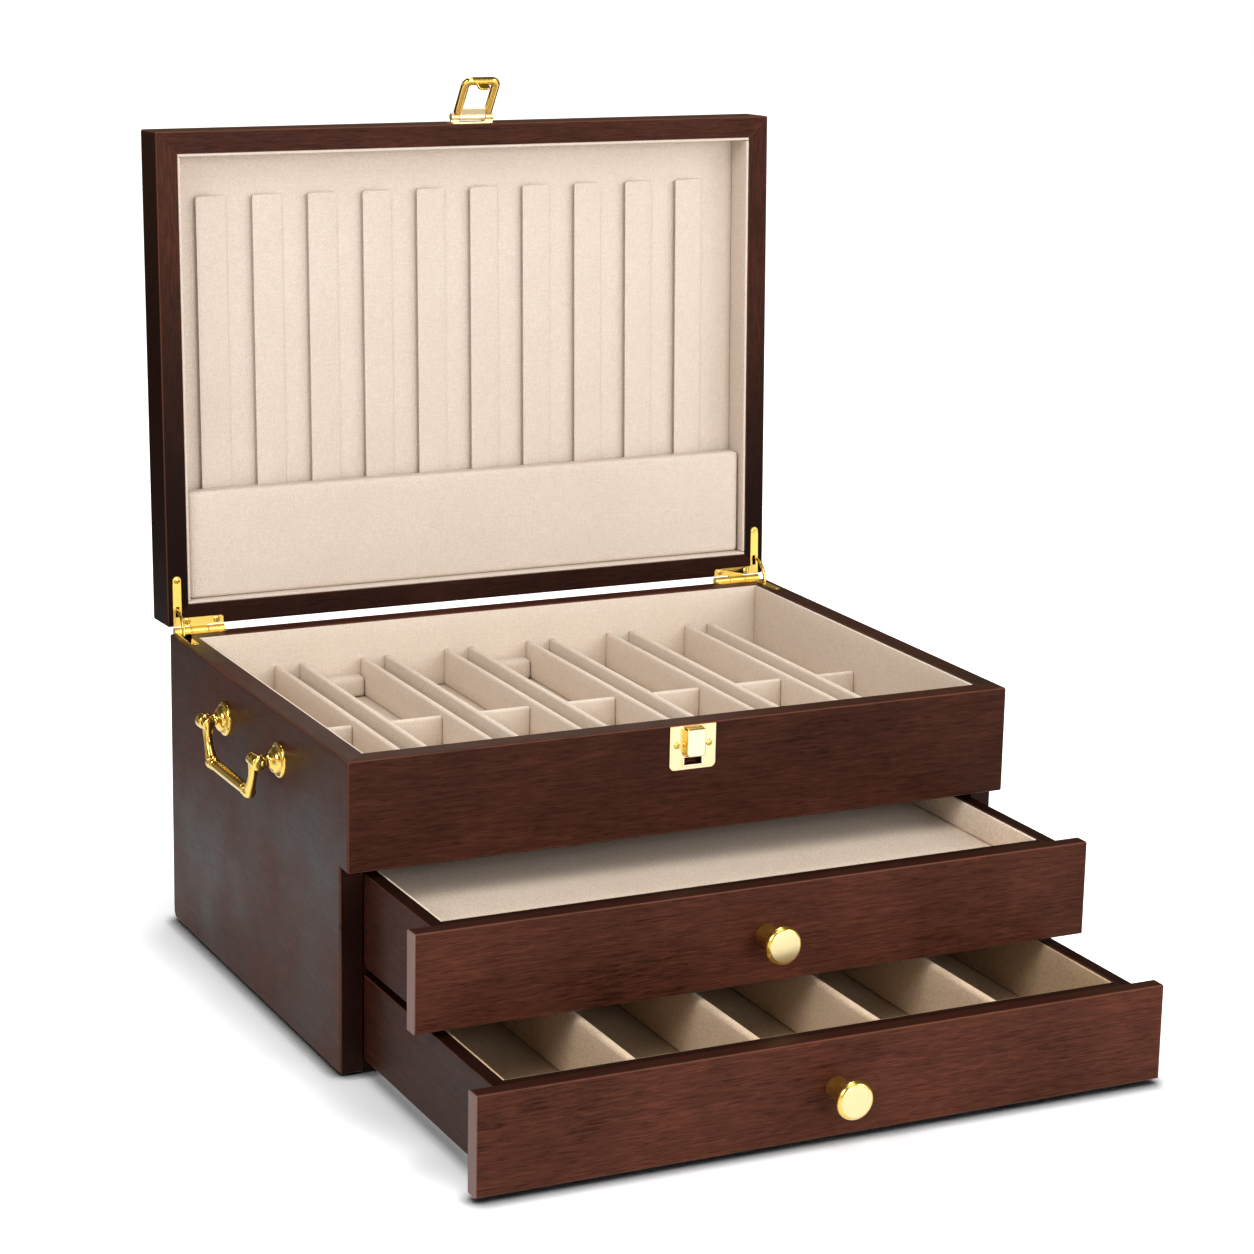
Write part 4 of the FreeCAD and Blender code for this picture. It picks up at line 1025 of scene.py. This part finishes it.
class CHEST_OT_handles(bpy.types.Operator):
    """Bail handles: posts on stepped rosettes, bails, turned grips and screws"""
    bl_idname = "chest.handles"
    bl_label = "Bail handles"

    rosette = 10.0
    eye = 4.4

    def execute(self, context):
        finish = brass(0.0, 0.07)
        for side, sign in (("left", -1), ("right", 1)):
            for maker, name, body, node in ((self.posts, "_posts_turned", "case", "_handle_posts"),
                                            (self.bail, "_bail_forged", "bail_" + side, "_bail"),
                                            (self.grip, "_grip_turned", "bail_" + side, "_bail_grip")):
                parts = maker(sign, *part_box(side + node))
                brass_piece(parts, side + name, body, [side + node], material=finish)
        dressed_copy("handle_screws", brass())
        return {"FINISHED"}

    def posts(self, sign, low, high):
        """Each a rosette in three steps, a waisted neck with a bead, and the eye across its end."""
        steps = [(0.0, 0.0), (self.rosette, 0.0), (self.rosette, 1.0), (9.85, 1.7), (9.4, 2.3), (8.7, 2.65),
                 (8.0, 2.6), (7.6, 2.75), (7.45, 3.3), (7.2, 4.0), (6.6, 4.9), (5.7, 5.6), (4.8, 6.1),
                 (4.0, 6.7), (3.6, 7.5), (3.55, 8.6), (3.75, 9.5), (4.1, 10.3), (4.25, 11.2), (4.2, 12.2),
                 (3.9, 13.0), (0.0, 13.0)]
        end = [(0.0, 4.0), (2.4, 4.0), (3.5, 3.72), (4.1, 3.12), (self.eye, 2.0)]
        barrel = [(radius, -along) for radius, along in end] + end[::-1]
        wall = high.x if sign < 0 else low.x
        reach = high.x - low.x - self.eye * MM
        parts = []
        for y in (low.y + self.rosette * MM, high.y - self.rosette * MM):
            foot = Vector((wall, y, (low.z + high.z) / 2))
            parts.append(lathe(steps, foot, (sign, 0, 0), 56))
            parts.append(lathe(barrel, foot + Vector((sign * reach, 0, 0)), (0, 1, 0), 40))
        return parts

    def bail(self, sign, low, high):
        """Rod for the grip, and on either side a hub, a bowed arm, a turned cap and a stud."""
        x = (low.x + high.x) / 2
        corner_y, corner_z = 31.0 * MM, low.z + (high.x - low.x) / 2
        hub_y, top = 35.7 * MM, high.z - 3.7 * MM
        hub = [(0.0, 0.0), (2.9, 0.0), (3.5, 0.4), (3.7, 1.1), (3.7, 3.9), (3.5, 4.6), (2.9, 5.0), (1.6, 5.0),
               (1.6, 10.3), (0.0, 10.3)]
        cap = [(0.0, -3.3), (1.6, -3.25), (2.7, -2.7), (3.5, -1.7), (3.8, -0.5), (3.8, 0.7), (3.45, 1.9),
               (3.0, 2.5), (3.0, 2.9), (3.35, 3.2), (3.35, 3.75), (2.9, 4.0), (0.0, 4.0)]
        stud = [(0.0, 2.8), (1.75, 2.8), (1.75, 4.0), (1.6, 4.35), (1.25, 4.5), (0.9, 4.4), (0.7, 4.1),
                (0.0, 4.05)]
        steps = 18
        shares = [number / (steps - 1) for number in range(steps)]
        thick = [(3.3 - 0.75 * math.sin(math.pi * min(1.0, 1.15 * share)) - 0.2 * share) * MM
                 for share in shares]
        rod = [Vector((x, way * corner_y, corner_z)) for way in (-1, 1)]
        parts = [tube(rod, [1.7 * MM] * 2, (1, 0, 0))]
        for way, corner in zip((-1, 1), rod):
            parts.append(lathe(hub, (x, way * hub_y, top), (0, way, 0), 40))
            boss = Vector((x, way * (hub_y + 2.5 * MM), top))
            arm = interpolate_bezier(boss + Vector((0, 0, 2)) * MM, boss + Vector((0, way * 0.8, -10)) * MM,
                                     corner + Vector((0, way * 5, 8)) * MM, corner, steps)
            parts.append(tube(arm, thick, (1, 0, 0)))
            parts.append(lathe(cap, corner, (0, -way, 0), 40))
            parts.append(lathe(stud, corner - Vector((0, way * MM, 0)), (sign * 0.55, 0, 0.83), 24))
        return parts

    def grip(self, sign, low, high):
        """Turned grip, the same at both ends."""
        length = (high.y - low.y) / MM
        half = [(1.75, 0.3), (3.0, 0.3), (3.45, 0.6), (3.58, 1.2), (3.45, 1.8), (3.0, 2.2), (2.75, 2.5),
                (2.75, 2.8), (3.1, 3.1), (3.2, 3.6), (3.25, 8.0), (3.3, 16.0)]
        outline = half + [(3.32, length / 2)] + [(radius, length - along) for radius, along in half[::-1]]
        return [lathe(outline, ((low.x + high.x) / 2, low.y, (low.z + high.z) / 2), (0, 1, 0), 44)]


class CHEST_OT_hinges(bpy.types.Operator):
    """Quadrant hinges: leaves, pins, curved stays and screws"""
    bl_idname = "chest.hinges"
    bl_label = "Quadrant hinges"

    def execute(self, context):
        for side in ("left", "right"):
            for leaf in ("hinge_case_leaf_", "hinge_lid_leaf_"):
                dressed_copy(leaf + side, brass(0.0, 0.26), soften=0.22 * MM, least=0.0,
                             mirror_of=leaf + "left" if side == "right" else None)
            self.stay(side)
        dressed_copy("hinge_pins", brass())
        for body, face in (("case", TOP), ("lid", UNDER)):
            screw_heads("hinge_%s_screws" % body, body, face, 0.93, 0.12 * MM, (0.4, 1.9), "_slotted")
        return {"FINISHED"}

    def stay(self, side):
        """Curved bar round the hinge pin, with the pegs at its ends that run in the leaves' slots."""
        node = "hinge_stay_" + side
        low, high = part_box(node)
        bar, far = (low.x + MM, high.x) if side == "left" else (high.x - MM, low.x)
        radius, start, end, steps = 13.0 * MM, math.radians(-14.0), math.radians(106.0), 30
        points = []
        for number in range(steps + 1):
            angle = start + (end - start) * number / steps
            points.append(LID_PIN + Vector((0, -radius * math.cos(angle), radius * math.sin(angle))))
            points[-1].x = bar
        parts = [tube(points, [(1.15 * MM, 1.0 * MM)] * len(points), (1, 0, 0), 20)]
        for point in (points[0], points[-1]):
            parts.append(tube([point, Vector((far, point.y, point.z))], [0.7 * MM] * 2, (0, 0, 1), 16))
        brass_piece(parts, node + "_drawn", body_of(node), [node])


class CHEST_OT_catch(bpy.types.Operator):
    """Catch on the front board, hasp on the lid, and their screws"""
    bl_idname = "chest.catch"
    bl_label = "Catch and hasp"

    def execute(self, context):
        self.catch()
        self.hasp()
        # Hasp plate and pin with a painted highlight
        for node in ("hasp_plate", "hasp_pin"):
            dressed_copy(node, brass(0.5, 0.3))
        for node, body, turns in (("catch_screws", "case", (0.7, 1.6)), ("hasp_screws", "lid", (0.2, 1.2))):
            screw_heads(node, body, FRONT, 1.0, 0.7 * MM, turns, "_domed", brass(0.0, 0.05))
        return {"FINISHED"}

    def catch(self):
        """Plate with a window, and over it a raised block; a lip runs round three sides of the window."""
        low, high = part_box("catch_plate")
        front, close = low.y + 4.6 * MM, 0.01 * MM
        window, sill, lintel = 5.25 * MM, 155.3 * MM, 159.1 * MM
        plate = slab((low.x, front, low.z), high)
        ease(plate, sharp_edges(plate, lambda e: extent(e).y > 0.5 * MM and e.verts[0].co.z < low.z + MM),
             3.0 * MM, 8)
        sideways, upwards = Vector((1, 0, 0)), Vector((0, 0, 1))
        for way, place in ((sideways, -window), (sideways, window), (upwards, sill), (upwards, lintel)):
            cut(plate, way * place, way)
        plate.normal_update()
        opening = [f for f in plate.faces if abs(f.normal.y) > 0.9 and abs(f.calc_center_median().x) < window
                   and sill < f.calc_center_median().z < lintel]
        rims = [e for f in opening for e in f.edges]
        bmesh.ops.delete(plate, geom=opening, context="FACES_ONLY")
        bmesh.ops.bridge_loops(plate, edges=rims)
        bmesh.ops.recalc_face_normals(plate, faces=plate.faces)
        ease(plate, sharp_edges(plate, lambda e: max(v.co.y for v in e.verts) < front + close), 0.25 * MM, 2)

        block = slab((-6.8 * MM, low.y, 159.9 * MM), (6.8 * MM, front + 0.3 * MM, 176.5 * MM))
        for below, width in ((True, 2.4), (False, 1.1)):
            ease(block, sharp_edges(block, lambda e: extent(e).y > 2 * MM and
                                    (e.verts[0].co.z < 168 * MM) == below), width * MM, 5)
        middle = Vector((0, low.y, 168.2 * MM))
        for vertex in block.verts:
            if vertex.co.y < low.y + close:
                away = vertex.co - middle
                vertex.co = middle + Vector((away.x * 0.82, 0, away.z * 0.94))
        ease(block, sharp_edges(block, lambda e: all(v.co.y < low.y + close for v in e.verts)), 0.55 * MM)
        lip = [rounded_block((left * MM, front - 0.5 * MM, bottom * MM),
                             (right * MM, front + 0.2 * MM, top * MM), 0.2 * MM, 2)
               for left, right, bottom, top in ((-6.45, 6.45, 154.1, 155.3), (-6.45, -5.25, 155.2, 159.1),
                                                (5.25, 6.45, 155.2, 159.1))]
        # Plate and block with a painted highlight on their front faces
        brass_piece([plate], "catch_plate_pressed", "case", ["catch_plate"], degrees=30,
                    material=brass(0.6, front=True))
        brass_piece([block] + lip, "catch_block_pressed", "case", [], degrees=30,
                    material=brass(0.9, front=True))

    def hasp(self):
        """Frame with rounded bars, hook and knuckle, modelled hanging from its pin on the shut lid."""
        y, z = HASP_PIN.y, HASP_PIN.z
        thick, bar, bend = 2.1 * MM, 2.6 * MM, 3.4 * MM
        out, end = 12.5 * MM - bar, z - 29.5 * MM + bar
        half_path = [Vector((-out, y, z - 3.4 * MM))]
        for step in range(9):
            turn = math.pi / 2 * step / 8
            half_path.append(Vector((-out + bend * (1 - math.cos(turn)), y, end + bend * (1 - math.sin(turn)))))
        path = half_path + [Vector((-point.x, y, point.z)) for point in reversed(half_path)]
        ring = tube(path, [(bar, thick)] * len(path), (0, 1, 0), 32)
        hook_z, tip = z - 26.2 * MM, y + thick + 5 * MM
        hook = slab((-3.8 * MM, y, hook_z - 0.75 * MM), (3.8 * MM, tip, hook_z + 0.75 * MM))
        ease(hook, sharp_edges(hook, lambda e: all(v.co.y > tip - 0.01 * MM for v in e.verts)
                               and extent(e).z > MM), 2.2 * MM, 6)
        ease(hook, sharp_edges(hook), 0.4 * MM)
        web = rounded_block((-8.8 * MM, y - 0.9 * MM, z - 6.7 * MM), (8.8 * MM, y + 0.9 * MM, z), 0.3 * MM)
        width = 16.8
        barrel = lathe([(0.95, 0.0), (2.0, 0.0), (2.2, 0.25), (2.2, width - 0.25), (2.0, width), (0.95, width),
                        (0.95, 0.0)], (-width / 2 * MM, y, z), (1, 0, 0), 36)
        # The knuckle has a painted highlight all over
        for name, parts, stands_for, finish in (("hasp_frame_cast", [ring, hook], ["hasp_frame"], brass()),
                                                ("hasp_knuckle_rolled", [web, barrel], [], brass(0.9, 0.4))):
            whole = joined(parts)
            bmesh.ops.rotate(whole, cent=HASP_PIN, matrix=Matrix.Rotation(-HASP_LIFT, 3, "X"),
                             verts=whole.verts)
            brass_piece([whole], name, "hasp", stands_for, degrees=30, lid=True, material=finish)


class CHEST_PT_sidebar(bpy.types.Panel):
    """Steps and settings of the flatware chest"""
    bl_idname = "CHEST_PT_sidebar"
    bl_label = "Flatware Chest"
    bl_space_type = "VIEW_3D"
    bl_region_type = "UI"
    bl_category = "Chest"

    def draw(self, context):
        for step in STEPS:
            self.layout.operator(step.bl_idname)
        for group in SETTINGS:
            box = self.layout.box()
            settings = getattr(context.scene, group)
            for name in SETTINGS[group].__annotations__:
                box.prop(settings, name)


SETTINGS = {"chest_wood": WoodSettings, "chest_cloth": ClothSettings, "chest_brass": BrassSettings,
            "chest_stage": StageSettings}
STEPS = (CHEST_OT_stage, CHEST_OT_wood, CHEST_OT_felt, CHEST_OT_well_lining, CHEST_OT_drawer_lining,
         CHEST_OT_lid_lining, CHEST_OT_knobs, CHEST_OT_handles, CHEST_OT_hinges, CHEST_OT_catch)


def register():
    for item in (*SETTINGS.values(), *STEPS, CHEST_PT_sidebar):
        bpy.utils.register_class(item)
    for name, group in SETTINGS.items():
        setattr(bpy.types.Scene, name, PointerProperty(type=group))


def unregister():
    for name in SETTINGS:
        delattr(bpy.types.Scene, name)
    for item in (CHEST_PT_sidebar, *reversed(STEPS), *SETTINGS.values()):
        bpy.utils.unregister_class(item)


def main():
    register()
    bpy.ops.chest.stage()
    bpy.ops.chest.wood()
    bpy.ops.chest.felt()
    bpy.ops.chest.well_lining()
    bpy.ops.chest.drawer_lining()
    bpy.ops.chest.lid_lining()
    bpy.ops.chest.knobs()
    bpy.ops.chest.handles()
    bpy.ops.chest.hinges()
    bpy.ops.chest.catch()


if __name__ == "__main__":
    main()
